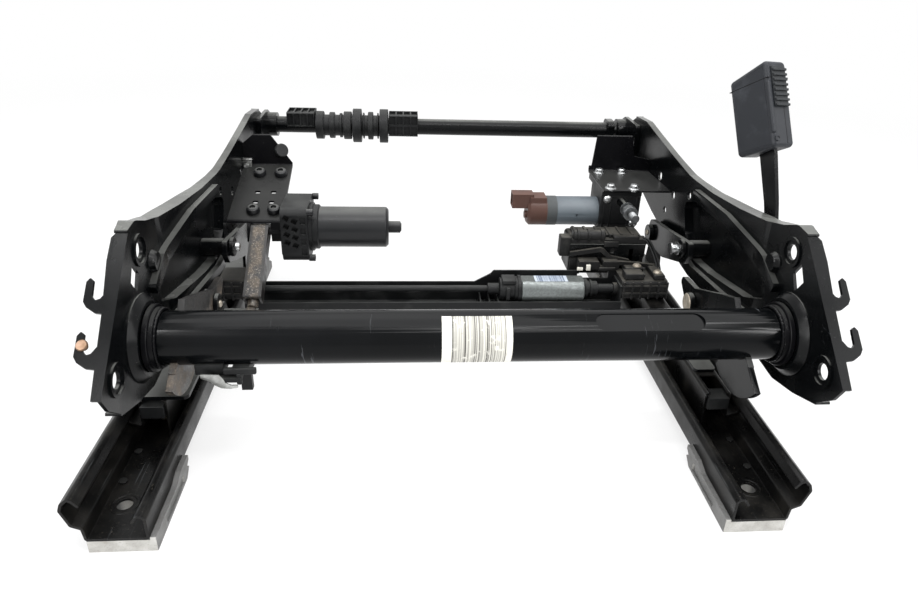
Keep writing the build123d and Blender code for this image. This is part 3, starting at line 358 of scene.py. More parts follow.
def moulded_nylon(name, base, dusty, roughness, dust):
    """Matt moulded plastic with grey dust on its upper faces; its mould grain is drawn coarse, to show."""
    material, tree, shader, place = surface(name)
    cloud = grain(tree, place, 20, 5)
    colour = layer(tree, base, dusty, cloud, 0.35, 0.6, 1.0, 0.3, looks_up(tree, dust))
    colour = layer(tree, colour, dusty, cloud, 0.55, 0.75, 0.35)
    shader.inputs["Specular IOR Level"].default_value = 0.24
    gloss = (cloud, 0.3, 0.7, roughness - 0.08, roughness + 0.15)
    shade(tree, shader, colour, gloss, grain(tree, place, 0.9, 2), 0.06, 0.5)
    return material


def baked_enamel():
    """Blue-grey baked enamel on a motor can: even, satin, with a few dull smears."""
    material, tree, shader, place = surface("Blue-grey baked enamel")
    cloud = grain(tree, place, 22, 4)
    colour = layer(tree, rgba("#575f65"), "#4c5359", cloud, 0.4, 0.7, 1.0)
    smears = grain(tree, place, 5, 3, 0.6, (0.3, 1, 1))
    colour = layer(tree, colour, "#6d7579", smears, 0.66, 0.74, 0.4)
    shade(tree, shader, colour, (cloud, 0.3, 0.7, 0.36, 0.5), grain(tree, place, 1.5, 2), 0.03, 0.3)
    return material


def printed_label(name, start_mm, end_mm, lines_mm, paper, ink):
    """Paper label with a plain margin and a field of upright printed stripes, rubbed by handling."""
    material, tree, shader, place = surface(name)
    across = put(tree, "ShaderNodeMapping", {"Vector": place, "Scale": (1, 0, 0)})
    fine = put(tree, "ShaderNodeTexNoise", {
        "Vector": across, "Scale": 1000.0 / lines_mm, "Detail": 2.0}, "Fac")
    broad = put(tree, "ShaderNodeTexNoise", {
        "Vector": across, "Scale": 250.0 / lines_mm, "Detail": 0.0}, "Fac")
    stripes = put(tree, MATH, (put(tree, RANGE, (fine, 0.47, 0.53, 1.0, 0.25)),
                               put(tree, RANGE, (broad, 0.4, 0.6, 1.0, 0.55))), operation="MULTIPLY")
    x = put(tree, PARTS, (place,), "X")
    field = put(tree, MATH, (put(tree, RANGE, (x, start_mm * MM, (start_mm + 0.4) * MM, 0.0, 1.0)),
                             put(tree, RANGE, (x, (end_mm - 0.4) * MM, end_mm * MM, 1.0, 0.0))),
                operation="MULTIPLY")
    share = put(tree, MATH, (stripes, field), operation="MULTIPLY")
    rubbed = put(tree, RANGE, (grain(tree, place, 8, 5, 0.6), 0.58, 0.66, 1.0, 0.15))
    share = put(tree, MATH, (share, rubbed), operation="MULTIPLY")
    colour = put(tree, MIX, {0: share, 6: rgba(paper), 7: rgba(ink)}, 2, data_type="RGBA")
    colour = layer(tree, colour, "#8f8b82", grain(tree, place, 5, 5, 0.65), 0.6, 0.72, 0.5)
    shade(tree, shader, colour, (share, 0.0, 1.0, 0.5, 0.62), grain(tree, place, 9, 3), 0.1, 0.4)
    return material


def make_materials(paint, plastic):
    """All the finishes, by the name that the nodes use."""
    return {
        # In each dip coat the fourth number is the share of the pale top layer, partly dust and partly
        # painted highlight.
        "coat": dip_coat("Black dip coat on pressed steel", paint, 0.2, 0.85, 0.17),
        "clean_coat": dip_coat("Clean black dip coat", rgba("#070709"), 0.26, 0.18, 0.14),
        "black_can": dip_coat("Satin black motor paint", rgba("#121315"), 0.34, 0.6, 0.35),
        "tube": tube_coat(),
        "rail": worn_rail_coat(),
        "foot": cast_foot(),
        "grease": gritty_steel("Greased steel full of grit", "#14120f", "#4b4238", 0.8, "#918879", 0.25),
        "channel": gritty_steel("Gritty steel channel", "#0b0a0a", "#544a3e", 0.95, "#a0968a", 0.3,
                                middle_mm=LIFT_CHANNEL_X),
        "rust": gritty_steel("Dusty black link steel", "#0a0a0a", "#574d43", 0.85, "#7a7064", 0.35,
                             dusty_below_mm=98.0),
        "zinc": plated_steel(),
        "worn_zinc": plated_steel("Worn zinc on a greased screw", "#8d8f90", "#585a5b", 0.36),
        "brass": plated_steel("Yellow-passivated steel", "#ab8f7c", "#735b47", 0.36),
        "dull_brass": plated_steel("Dull tinned rivet head", "#a79f92", "#7d7467", 0.45, 0.5),
        "bright_sheet": plated_steel("Bare spring sheet", "#b5b6b4", "#8a8b88", 0.34),
        "blue_can": baked_enamel(),
        "silver_can": spangled_can(),
        "band": moulded_nylon("Grey sleeve on the motor can", rgba("#424546"), "#555859", 0.5, 0.4),
        "nylon": moulded_nylon("Black glass-filled nylon", plastic, "#3a3b3a", 0.46, 0.8),
        "grey_nylon": moulded_nylon("Grey nylon", rgba("#232527"), "#45484a", 0.5, 0.8),
        "dusty_nylon": moulded_nylon("Dusty black nylon", rgba("#161616"), "#4e4c47", 0.48, 0.9),
        "brown_nylon": moulded_nylon("Brown nylon", rgba("#4a342d"), "#6d5147", 0.42, 0.5),
        "buckle": moulded_nylon("Grained ABS buckle shell", rgba("#24262a"), "#4d5055", 0.42, 0.6),
        # Near-black finish of the strips that paint the shadow in the buckle's seams.
        "painted_seam_shadow": moulded_nylon("Painted shadow in the buckle seams", rgba("#050506"), "#0c0c0d", 0.6, 0.2),
        "white_plastic": moulded_nylon("White connector plastic", rgba("#d9d6cc"), "#b8b4a8", 0.4, 0.3),
        "tube_label": printed_label("Striped paper label", 2.0, 42.5, 1.15, "#d6d4cb", "#3e3c38"),
        "can_label": printed_label("Small striped paper label", 102.0, 131.0, 0.9, "#b9c2cd", "#2f4260"),
    }


FINISH = {
    "coat": ("side_member_left", "side_member_right", "front_bushes", "front_cross_tube", "tilt_crank",
             "strap_bracket", "rear_bracket_left", "rear_bracket_right", "front_bracket_left",
             "front_bracket_right", "front_link_left", "front_link_right", "rear_link_right", "link_pins",
             "pivot_studs"),
    "clean_coat": ("lift_motor_bracket", "tilt_bracket", "tube_collars", "buckle_stalk", "rail_rivets"),
    "tube": ("rear_cross_tube",),
    "rail": ("lower_rail_left", "lower_rail_right", "upper_rail_left", "upper_rail_right"),
    "foot": ("rear_feet", "front_feet"),
    "grease": ("drive_spindles", "spindle_blocks", "lift_rod"),
    "channel": ("lift_channel",),
    "rust": ("rear_link_left",),
    "zinc": ("buckle_bolt", "tube_washers"),
    "worn_zinc": ("tilt_screw",),
    "blue_can": ("tilt_motor_can",),
    "silver_can": ("slide_motor_can",),
    "black_can": ("lift_motor_can",),
    "dusty_nylon": ("screw_gearbox_left", "screw_gearbox_right", "control_unit", "control_connectors"),
    "nylon": ("rail_plugs", "cross_tray", "slide_motor_cap", "drive_shafts", "tube_clip", "lift_gearbox",
              "tilt_gearbox", "hook_block", "front_roller", "front_bobbin", "ribbed_block"),
    "grey_nylon": ("guide_shoes", "buckle_pad"),
    "brown_nylon": ("tilt_motor_cap",),
    "buckle": ("buckle_housing", "buckle_button"),
}


# Helpers for pieces
def finish_mesh(name, bm, material, body):
    """Turns a bmesh into a piece that rides on a body, smooth but for its sharp edges."""
    mesh = bpy.data.meshes.new(name)
    bm.to_mesh(mesh)
    bm.free()
    mesh.materials.append(material)
    piece = bpy.data.objects.new(name, mesh)
    bpy.context.scene.collection.objects.link(piece)
    mesh.shade_smooth()
    mesh.set_sharp_from_angle(angle=radians(32.0))
    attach(piece, body)
    return piece


def body_of_node(node):
    """Body that a node belongs to."""
    bodies = frame["record"]["behaviour"]["bodies"]
    return next(body for body, members in bodies.items() if node in members)


def prism(outline, axis, low, high):
    """Straight-sided piece between two heights along an axis, in millimetres."""
    bm = bmesh.new()
    spare = "XYZ".index(axis)
    corners = []
    for first, second in outline:
        corner = [first, second]
        corner.insert(spare, low)
        corners.append(bm.verts.new(Vector(corner) * MM))
    made = bmesh.ops.extrude_face_region(bm, geom=[bm.faces.new(corners)])
    rise = Vector((0.0, 0.0, 0.0))
    rise[spare] = (high - low) * MM
    moved = [item for item in made["geom"] if isinstance(item, bmesh.types.BMVert)]
    bmesh.ops.translate(bm, vec=rise, verts=moved)
    bmesh.ops.recalc_face_normals(bm, faces=bm.faces)
    return bm


def cut_away(bm, cutter):
    """Takes one closed shape out of another."""
    pair = []
    for shape in (bm, cutter):
        mesh = bpy.data.meshes.new("part")
        shape.to_mesh(mesh)
        shape.free()
        pair.append(bpy.data.objects.new("part", mesh))
        bpy.context.scene.collection.objects.link(pair[-1])
    cut = pair[0].modifiers.new("Cut", "BOOLEAN")
    cut.operation = "DIFFERENCE"
    cut.solver = "EXACT"
    cut.object = pair[1]
    left = pair[0].evaluated_get(bpy.context.evaluated_depsgraph_get())
    rest = bmesh.new()
    rest.from_mesh(left.to_mesh())
    left.to_mesh_clear()
    for item in pair:
        mesh = item.data
        bpy.data.objects.remove(item)
        bpy.data.meshes.remove(mesh)
    return rest


def member_cuts(right):
    """Shapes that narrow a side member's upper flange and open its diamond hole to its real size."""
    cuts = []
    for edge, heights in ((FLANGE_EDGE, FLANGE_HEIGHTS), (VISOR_EDGE, VISOR_HEIGHTS)):
        cuts.append(prism([*edge, (OUTSIDE_X, edge[-1][1]), (OUTSIDE_X, edge[0][1])], "Z", *heights))
    cuts.append(prism(DIAMOND, "X", *DIAMOND_DEPTH))
    if not right:
        mirror = Matrix.Translation((2 * MIDDLE_X * MM, 0, 0)) @ Matrix.Diagonal((-1, 1, 1, 1))
        for cut in cuts:
            bmesh.ops.transform(cut, matrix=mirror, verts=cut.verts)
            bmesh.ops.recalc_face_normals(cut, faces=cut.faces)
    return cuts


def held(value):
    """Value kept between nought and one."""
    return min(max(value, 0.0), 1.0)


def straighten_strap(bm):
    """Eases the bend of the buckle's strap into one long slope and tapers the strap towards its bolt."""
    rise = Vector(BUCKLE_FOOT) - Vector(BUCKLE_BOLT)
    rise.x = 0.0
    length = rise.length
    up = rise.normalized()
    across = Vector(ACROSS).cross(up)
    for vert in bm.verts:
        place = vert.co / MM - Vector(BUCKLE_BOLT)
        along = place.dot(up)
        bent = held((along - STRAP_BEND_START) / (length - STRAP_BEND_END - STRAP_BEND_START))
        eased = held((along - STRAP_SLOPE_START) / (length + STRAP_SLOPE_END - STRAP_SLOPE_START))
        vert.co.x += (eased - bent) * STRAP_LEAN * MM
        side = place.dot(across)
        if abs(side) > STRAP_SIDE:
            half = STRAP_HALF_WIDTH + STRAP_WIDENS * held(along / length)
            vert.co += across * (half * (1 if side > 0 else -1) - side) * MM


def dressed(node, material, edge, cuts=()):
    """Copy of a node with its faces joined, its round sides smooth and its edges broken."""
    bm = bmesh.new()
    bm.from_mesh(frame["nodes"][node].data)
    bmesh.ops.remove_doubles(bm, verts=bm.verts, dist=0.00001)
    if node == "buckle_stalk":
        straighten_strap(bm)
    for cut in cuts:
        bm = cut_away(bm, cut)
    bmesh.ops.dissolve_limit(bm, angle_limit=radians(0.6), verts=bm.verts, edges=bm.edges)
    piece = finish_mesh(node + "_dressed", bm, material, body_of_node(node))
    if edge:
        broken = piece.modifiers.new("Broken edges", "BEVEL")
        broken.width = edge
        broken.segments = 2
        broken.limit_method = "ANGLE"
        broken.angle_limit = radians(38)
        broken.harden_normals = True
    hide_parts(node)
    return piece


def aimed(centre, axis):
    """Matrix that stands a piece on its centre, in millimetres, with its own Z along an axis."""
    turn = Vector(axis).to_track_quat("Z", "Y").to_matrix().to_4x4()
    return Matrix.Translation(Vector(centre) * MM) @ turn


def turned(profile, centre, axis, steps=32):
    """Round piece spun from pairs of distance along its axis and radius, in millimetres."""
    bm = bmesh.new()
    points = [bm.verts.new((radius * MM, 0.0, along * MM)) for along, radius in profile]
    edges = [bm.edges.new(pair) for pair in zip(points, points[1:])]
    bmesh.ops.spin(bm, geom=points + edges, cent=(0, 0, 0), axis=UPWARD, angle=2 * pi, steps=steps,
                   use_merge=True)
    bmesh.ops.remove_doubles(bm, verts=bm.verts, dist=0.000002)
    bmesh.ops.recalc_face_normals(bm, faces=bm.faces)
    bmesh.ops.transform(bm, matrix=aimed(centre, axis), verts=bm.verts)
    return bm


def soften(bm, width_mm, segments):
    """Rounds every edge of a piece."""
    bmesh.ops.bevel(bm, geom=bm.edges[:], offset=width_mm * MM, segments=segments, profile=0.5,
                    affect="EDGES", material=-1)


def block(low, high, edge_mm=0.6):
    """Block between two corners in millimetres, with rounded edges."""
    bm = bmesh.new()
    bmesh.ops.create_cube(bm, size=1.0)
    size = [(end - start) * MM for start, end in zip(low, high)]
    bmesh.ops.transform(bm, matrix=Matrix.Diagonal((*size, 1.0)), verts=bm.verts)
    soften(bm, edge_mm, 3)
    middle = Matrix.Translation((Vector(low) + Vector(high)) / 2 * MM)
    bmesh.ops.transform(bm, matrix=middle, verts=bm.verts)
    return bm


def hexagon(centre, axis, across_mm, height_mm):
    """Six-sided nut or bolt head that stands on its centre."""
    bm = bmesh.new()
    radius = across_mm / 2 / cos(pi / 6) * MM
    bmesh.ops.create_cone(bm, cap_ends=True, cap_tris=False, segments=6, radius1=radius, radius2=radius,
                          depth=height_mm * MM)
    soften(bm, 0.3, 2)
    up = Matrix.Translation((0, 0, height_mm / 2 * MM))
    bmesh.ops.transform(bm, matrix=aimed(centre, axis) @ up, verts=bm.verts)
    return bm


def joined(parts):
    """One bmesh that holds several."""
    whole = bmesh.new()
    for part in parts:
        mesh = bpy.data.meshes.new("part")
        part.to_mesh(mesh)
        part.free()
        whole.from_mesh(mesh)
        bpy.data.meshes.remove(mesh)
    return whole


def wrapped_paper(start_x, end_x, radius, first, last):
    """Sheet of paper stuck round the rear tube, between two angles from its top to its back."""
    bm = bmesh.new()
    y = (TUBE_Y - radius * sin(radians(first))) * MM
    z = (TUBE_Z + radius * cos(radians(first))) * MM
    ends = [bm.verts.new((x * MM, y, z)) for x in (start_x, end_x)]
    edge = bm.edges.new(ends)
    bmesh.ops.spin(bm, geom=ends + [edge], cent=(0, TUBE_Y * MM, TUBE_Z * MM), axis=ACROSS,
                   angle=radians(last - first), steps=36)
    bmesh.ops.recalc_face_normals(bm, faces=bm.faces)
    bmesh.ops.solidify(bm, geom=bm.faces[:], thickness=0.15 * MM)
    bmesh.ops.recalc_face_normals(bm, faces=bm.faces)
    return bm


def weld_bead(x, radius, size):
    """Weld bead round the rear tube, with the ripples of its runs."""
    bm = bmesh.new()
    bmesh.ops.create_circle(bm, cap_ends=False, segments=8, radius=size * MM)
    top = Matrix.Translation(Vector((x, TUBE_Y, TUBE_Z + radius)) * MM)
    bmesh.ops.transform(bm, matrix=top @ Matrix.Rotation(radians(90), 4, "X"), verts=bm.verts)
    bmesh.ops.spin(bm, geom=bm.verts[:] + bm.edges[:], cent=(0, TUBE_Y * MM, TUBE_Z * MM), axis=ACROSS,
                   angle=2 * pi, steps=120, use_merge=True)
    bmesh.ops.remove_doubles(bm, verts=bm.verts, dist=0.000002)
    middle = Vector((x, TUBE_Y, TUBE_Z)) * MM
    for vert in bm.verts:
        out = vert.co - middle
        turn = atan2(out.z, out.y)
        ripple = 0.22 * size * MM * (sin(42 * turn) + 0.5 * sin(17 * turn))
        out.x = 0.0
        vert.co += out.normalized() * ripple
    bmesh.ops.recalc_face_normals(bm, faces=bm.faces)
    return bm


def screw_thread(first, last, radius, pitch, ridge=0.55):
    """Ridges of the tilt screw's thread."""
    profile = [(first, 0.0), (first, radius)]
    along = first
    while along < last - pitch:
        profile += [(along + pitch * 0.5, radius + ridge), (along + pitch, radius)]
        along += pitch
    return turned(profile + [(last, radius), (last, 0.0)], (TILT_SCREW_X, 0.0, TILT_SCREW_Z), FORWARD, 24)


def lead(name, route_mm, radius_mm, material, body):
    """Thin insulated lead that runs smoothly from one housing to the next."""
    curve = bpy.data.curves.new(name, "CURVE")
    curve.dimensions = "3D"
    curve.bevel_depth = radius_mm * MM
    curve.bevel_resolution = 4
    curve.resolution_u = 12
    curve.use_fill_caps = True
    spline = curve.splines.new("NURBS")
    spline.points.add(len(route_mm) - 1)
    for point, place in zip(spline.points, route_mm):
        point.co = (*(Vector(place) * MM), 1.0)
    spline.order_u = 3
    spline.use_endpoint_u = True
    curve.materials.append(material)
    piece = bpy.data.objects.new(name, curve)
    bpy.context.scene.collection.objects.link(piece)
    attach(piece, body)
    return piece


MATERIALS = {}


class SeatBaseSettings(bpy.types.PropertyGroup):
    """Sizes, colours and levels that a user would change."""

    edge: bpy.props.FloatProperty(
        name="Broken edge", description="Width of the broken edge on pressed and moulded pieces",
        default=0.0005, min=0.0, max=0.0015, unit="LENGTH")
    paint: bpy.props.FloatVectorProperty(
        name="Paint", description="Colour of the dip coat on the pressed steel", default=rgba("#050607"),
        size=4, min=0.0, max=1.0, subtype="COLOR")
    plastic: bpy.props.FloatVectorProperty(
        name="Plastic", description="Colour of the glass-filled nylon pieces", default=rgba("#101112"),
        size=4, min=0.0, max=1.0, subtype="COLOR")
    key_power: bpy.props.FloatProperty(
        name="Key light", description="Power of the large light above the seat base", default=22.0, min=0.0,
        unit="POWER")
    fill_power: bpy.props.FloatProperty(
        name="Fill light", description="Power of each light beside the camera", default=9.0, min=0.0,
        unit="POWER")
    strip_power: bpy.props.FloatProperty(
        name="Strip light", description="Power of each narrow light that draws the glints", default=4.5,
        min=0.0, unit="POWER")
    world_level: bpy.props.FloatProperty(
        name="Sky level", description="Strength of the white surroundings on matt surfaces", default=0.55,
        min=0.0)


class SEATBASE_OT_finishes(bpy.types.Operator):
    """Makes the finishes and dresses every piece of the seat base in its own"""

    bl_idname = "seatbase.finishes"
    bl_label = "Dress the pieces"

    def execute(self, context):
        settings = context.scene.seat_base
        MATERIALS.update(make_materials(tuple(settings.paint), tuple(settings.plastic)))
        for finish, members in FINISH.items():
            for member in members:
                frame["nodes"][member].data.materials.clear()
                frame["nodes"][member].data.materials.append(MATERIALS[finish])
                if member == "tube_collars":
                    continue
                cuts = member_cuts(member.endswith("right")) if member.startswith("side_member") else ()
                piece = dressed(member, MATERIALS[finish], settings.edge, cuts)
                if member == "tilt_screw":
                    piece.data.materials.append(MATERIALS["coat"])
                    for face in piece.data.polygons:
                        face.material_index = int(face.center.y > FORK_START * MM)
        rings = [turned(COLLAR, (0, TUBE_Y, TUBE_Z), ACROSS, 96),
                 turned(COLLAR, (2 * MIDDLE_X, TUBE_Y, TUBE_Z), BACK_ACROSS, 96)]
        collars = finish_mesh("tube_collars_dressed", joined(rings), MATERIALS["clean_coat"], "rear_linkage")
        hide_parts("tube_collars")
        return {"FINISHED"}


class SEATBASE_OT_fasteners(bpy.types.Operator):
    """Screws, bolts, rivet caps, nuts and welds that hold the pressed pieces together"""

    bl_idname = "seatbase.fasteners"
    bl_label = "Add the fasteners"

    def execute(self, context):
        places = [(x, y, LIFT_PLATE_Z + (y - LIFT_PLATE_Y) * LIFT_PLATE_SLOPE) for x, y in LIFT_SCREWS]
        screws = [turned(BUTTON_HEAD, place, LIFT_PLATE_UP) for place in places]
        finish_mesh("lift_bracket_screws", joined(screws), MATERIALS["black_can"], "seat_frame")
        bolts = [turned(FLANGE_HEAD, (x, y, TILT_PLATE_TOP), UPWARD) for x, y in TILT_BOLTS]
        finish_mesh("tilt_plate_bolts", joined(bolts), MATERIALS["zinc"], "seat_frame")
        clip_back = block((-205.0, 156.6, 146.0), (-195.0, 158.6, 161.0), 0.7)
        clip_top = block((-203.5, 152.6, 159.2), (-193.5, 159.0, 161.0), 0.6)
        clip_nut = hexagon((-200.5, 156.6, 153.0), BACKWARD, 5.5, 2.6)
        clip = joined([clip_back, clip_top, clip_nut])
        finish_mesh("lift_bracket_clip", clip, MATERIALS["bright_sheet"], "seat_frame")
        bumper = turned(RUBBER_STOP, (-167.0, 166.0, 166.0), (0.5, -0.8, 0.35))
        finish_mesh("lift_bracket_bumper", bumper, MATERIALS["nylon"], "seat_frame")
        hook_pin = turned(HOOK_PIN, (-238.2, -181.2, 135.4), (0, -0.672, 0.740))
        finish_mesh("hook_pin", hook_pin, MATERIALS["brass"], "seat_frame")
        cap = turned(RIVET_CAP, (222.9, REAR_PIN_Y, REAR_PIN_Z), BACK_ACROSS)
        finish_mesh("rear_pin_cap", cap, MATERIALS["dull_brass"], "carriage")
        rear_left = turned(SMALL_HEAD, (-190.1, REAR_PIN_Y, REAR_PIN_Z), ACROSS)
        front_left = turned(SMALL_HEAD, (-190.1, FRONT_PIN_Y, FRONT_PIN_Z), ACROSS)
        front_right = turned(SMALL_HEAD, (236.0, FRONT_PIN_Y, FRONT_PIN_Z), BACK_ACROSS)
        heads = joined([rear_left, front_left, front_right])
        finish_mesh("pin_heads", heads, MATERIALS["dull_brass"], "carriage")
        right_stud = turned(RIGHT_STUD, (237.0, FRAME_STUD_Y, FRAME_STUD_Z), BACK_ACROSS)
        left_stud = turned(LEFT_STUD, (-187.0, FRAME_STUD_Y, FRAME_STUD_Z), ACROSS)
        finish_mesh("frame_stud_heads", joined([right_stud, left_stud]), MATERIALS["zinc"], "seat_frame")
        self.hang_tube_clip()
        self.thread_tilt_screw()
        welds = joined([weld_bead(x, TUBE_RADIUS + 1.2, 1.2) for x in (WELD_X, 2 * MIDDLE_X - WELD_X)])
        finish_mesh("collar_welds", welds, MATERIALS["clean_coat"], "rear_linkage")
        return {"FINISHED"}

    def hang_tube_clip(self):
        """Plastic block and bare spring under the left end of the rear tube."""
        body = block((-183.0, -146.5, 88.5), (-162.0, -133.0, 97.0), 1.0)
        arm = block((-162.5, -149.6, 90.5), (-139.0, -146.0, 95.5), 1.0)
        finger = block((-153.5, -150.2, 82.0), (-149.5, -147.0, 91.5), 1.2)
        finish_mesh("tube_clip_block", joined([body, arm, finger]), MATERIALS["nylon"], "rear_linkage")
        tongue = prism(SPRING_TONGUE, "Y", -151.6, -150.4)
        soften(tongue, 0.3, 2)
        finish_mesh("tube_clip_spring", tongue, MATERIALS["bright_sheet"], "rear_linkage")

    def thread_tilt_screw(self):
        """Thread, nut and washers of the tilt screw."""
        thread = screw_thread(64.0, 75.5, 4.0, 1.5)
        finish_mesh("tilt_screw_thread", thread, MATERIALS["worn_zinc"], "tilt_drive")
        nut = hexagon((TILT_SCREW_X, 87.5, TILT_SCREW_Z), FORWARD, 11.0, 5.0)
        wide = turned(WIDE_WASHER, (TILT_SCREW_X, 93.4, TILT_SCREW_Z), FORWARD)
        narrow = turned(NARROW_WASHER, (TILT_SCREW_X, 78.6, TILT_SCREW_Z), FORWARD)
        finish_mesh("tilt_screw_nut", joined([nut, wide, narrow]), MATERIALS["worn_zinc"], "tilt_drive")


class SEATBASE_OT_labels(bpy.types.Operator):
    """Paper labels on the cross tube and on the slide motor, printed with plain stripes"""

    bl_idname = "seatbase.labels"
    bl_label = "Stick on the labels"

    def execute(self, context):
        label = wrapped_paper(-5.0, 47.0, TUBE_RADIUS + 0.1, 14.0, 162.0)
        finish_mesh("tube_label", label, MATERIALS["tube_label"], "rear_linkage")
        small = block((100.0, 47.4, 68.3), (134.0, 60.6, 68.72), 0.1)
        finish_mesh("motor_label", small, MATERIALS["can_label"], "carriage")
        return {"FINISHED"}


class SEATBASE_OT_motor_trim(bpy.types.Operator):
    """Sleeves, ribs, screws and caps on the three motors and their gearboxes"""

    bl_idname = "seatbase.motor_trim"
    bl_label = "Trim the motors"

    def execute(self, context):
        sleeve = turned(TILT_SLEEVE, (0.0, TILT_MOTOR_Y, TILT_MOTOR_Z), ACROSS, 64)
        finish_mesh("tilt_motor_sleeve", sleeve, MATERIALS["band"], "seat_frame")
        ribs = [block((x, 116.0, 100.0), (x + RIB_THICKNESS, 117.6, 136.0), 0.4)
                for x in (181.0, 188.0, 209.0, 216.0)]
        screws = [turned(ROUND_HEAD, (x, 116.6, z), BACKWARD) for x, z in ((184.6, 133.0), (216.0, 106.0))]
        finish_mesh("tilt_gearbox_ribs", joined(ribs), MATERIALS["nylon"], "seat_frame")
        finish_mesh("tilt_gearbox_screws", joined(screws), MATERIALS["zinc"], "seat_frame")
        ears = [turned(LIFT_EAR, (-127.5, LIFT_MOTOR_Y + y, LIFT_MOTOR_Z + z), ACROSS)
                for y in (-24.0, 24.0) for z in (24.0, -24.0)]
        finish_mesh("lift_gearbox_screws", joined(ears), MATERIALS["black_can"], "seat_frame")
        hoop = turned(LIFT_HOOP, (-124.0, LIFT_MOTOR_Y, LIFT_MOTOR_Z), ACROSS, 64)
        finish_mesh("lift_motor_hoop", hoop, MATERIALS["nylon"], "seat_frame")
        tip = turned(LIFT_TIP, (-38.0, LIFT_MOTOR_Y, LIFT_MOTOR_Z), ACROSS)
        finish_mesh("lift_motor_tip", tip, MATERIALS["black_can"], "seat_frame")
        rings = [turned(ring, (x, SLIDE_MOTOR_Y, SLIDE_MOTOR_Z), ACROSS, 48) for x, ring in SLIDE_RINGS]
        lid = block((66.0, 44.0, 66.5), (80.0, 60.0, 70.5), 0.8)
        latch = block((70.0, 40.0, 50.0), (74.0, 43.6, 64.0), 0.8)
        finish_mesh("slide_motor_trim", joined([*rings, lid, latch]), MATERIALS["nylon"], "carriage")
        return {"FINISHED"}


class SEATBASE_OT_control(bpy.types.Operator):
    """Ribs, covers and plugs round the control unit, and the ribs of the cross tray"""

    bl_idname = "seatbase.control"
    bl_label = "Fit out the control unit"

    def execute(self, context):
        top_ribs = [block((146.0 + 12.0 * step, 84.5, 101.0), (149.0 + 12.0 * step, 109.0, 105.2), 0.7)
                    for step in range(6)]
        capacitor = turned(CAPACITOR, (0, 86.0, 103.5), ACROSS, 40)
        top_cover = block((186.0, 80.5, 96.0), (214.0, 92.0, 104.5), 1.6)
        end_cover = block((129.5, 79.5, 82.0), (141.0, 92.0, 103.5), 1.4)
        socket = turned(UNIT_SOCKET, (220.5, 96.0, 93.0), ACROSS, 24)
        upper_arm = prism(UPPER_ARM, "Y", 75.6, 79.0)
        lower_arm = prism(LOWER_ARM, "Y", 68.6, 72.6)
        arm_root = block((170.0, 66.0, 71.0), (188.0, 79.0, 75.0), 1.0)
        upright = block((203.0, 79.0, 62.0), (209.0, 82.0, 92.0), 1.0)
        catch = block((176.0, 78.8, 93.0), (192.0, 81.4, 99.0), 0.8)
        side_rail = block((141.0, 78.6, 62.0), (153.0, 81.5, 80.0), 1.0)
        front_pad = block((196.0, 60.0, 73.2), (216.0, 78.0, 77.5), 1.2)
        right_pad = block((222.0, 44.0, 71.2), (234.0, 76.0, 76.5), 1.4)
        left_pad = block((192.0, 44.0, 71.2), (212.0, 58.0, 78.0), 1.4)
        covers = joined([*top_ribs, capacitor, top_cover, end_cover, socket, upper_arm, lower_arm, arm_root,
                         upright, catch, side_rail, front_pad, right_pad, left_pad])
        finish_mesh("control_covers", covers, MATERIALS["dusty_nylon"], "carriage")
        for number in range(2):
            shift = LEAD_SPACING * number
            route = [(x + shift, y + shift, z) for x, y, z in LEAD_ROUTE]
            lead(f"control_lead_{number + 1}", route, LEAD_RADIUS, MATERIALS["nylon"], "carriage")
        for side, way in (("right", 1), ("left", -1)):
            finish_mesh("gearbox_ribs_" + side, self.grid(way), MATERIALS["dusty_nylon"], "carriage")
        short_plug = block((147.0, 66.0, 71.8), (153.0, 68.4, 75.0), 0.4)
        tall_plug = block((156.5, 66.0, 71.8), (161.0, 68.4, 78.0), 0.4)
        plugs = joined([short_plug, tall_plug])
        finish_mesh("control_plug_faces", plugs, MATERIALS["white_plastic"], "carriage")
        rivets = joined([turned(ROUND_HEAD, place, UPWARD)
                         for place in ((210.0, 66.0, 77.0), (228.0, 52.0, 76.0))])
        finish_mesh("control_rivets", rivets, MATERIALS["dull_brass"], "carriage")
        tray_ribs = [block((x, 38.8, 36.8), (x + 1.8, 69.0, 47.5), 0.3) for x in (44.0, 53.0, 62.0)]
        finish_mesh("tray_ribs", joined(tray_ribs), MATERIALS["nylon"], "carriage")
        return {"FINISHED"}

    def grid(self, way):
        """Upright ribs and level bars on the back of a screw gearbox, on one side of the seat."""
        parts = []
        for step in range(RIB_COUNT):
            start = GRID_START + RIB_PITCH * step
            low, high = sorted((way * start, way * (start + RIB_THICKNESS)))
            parts.append(block((low, 39.6, 51.5), (high, 41.6, 70.5), 0.5))
        low, high = sorted(way * end for end in GRID_ENDS)
        parts += [block((low, 39.4, z), (high, 41.2, z + 2.0), 0.5) for z in GRID_BARS]
        return joined(parts)


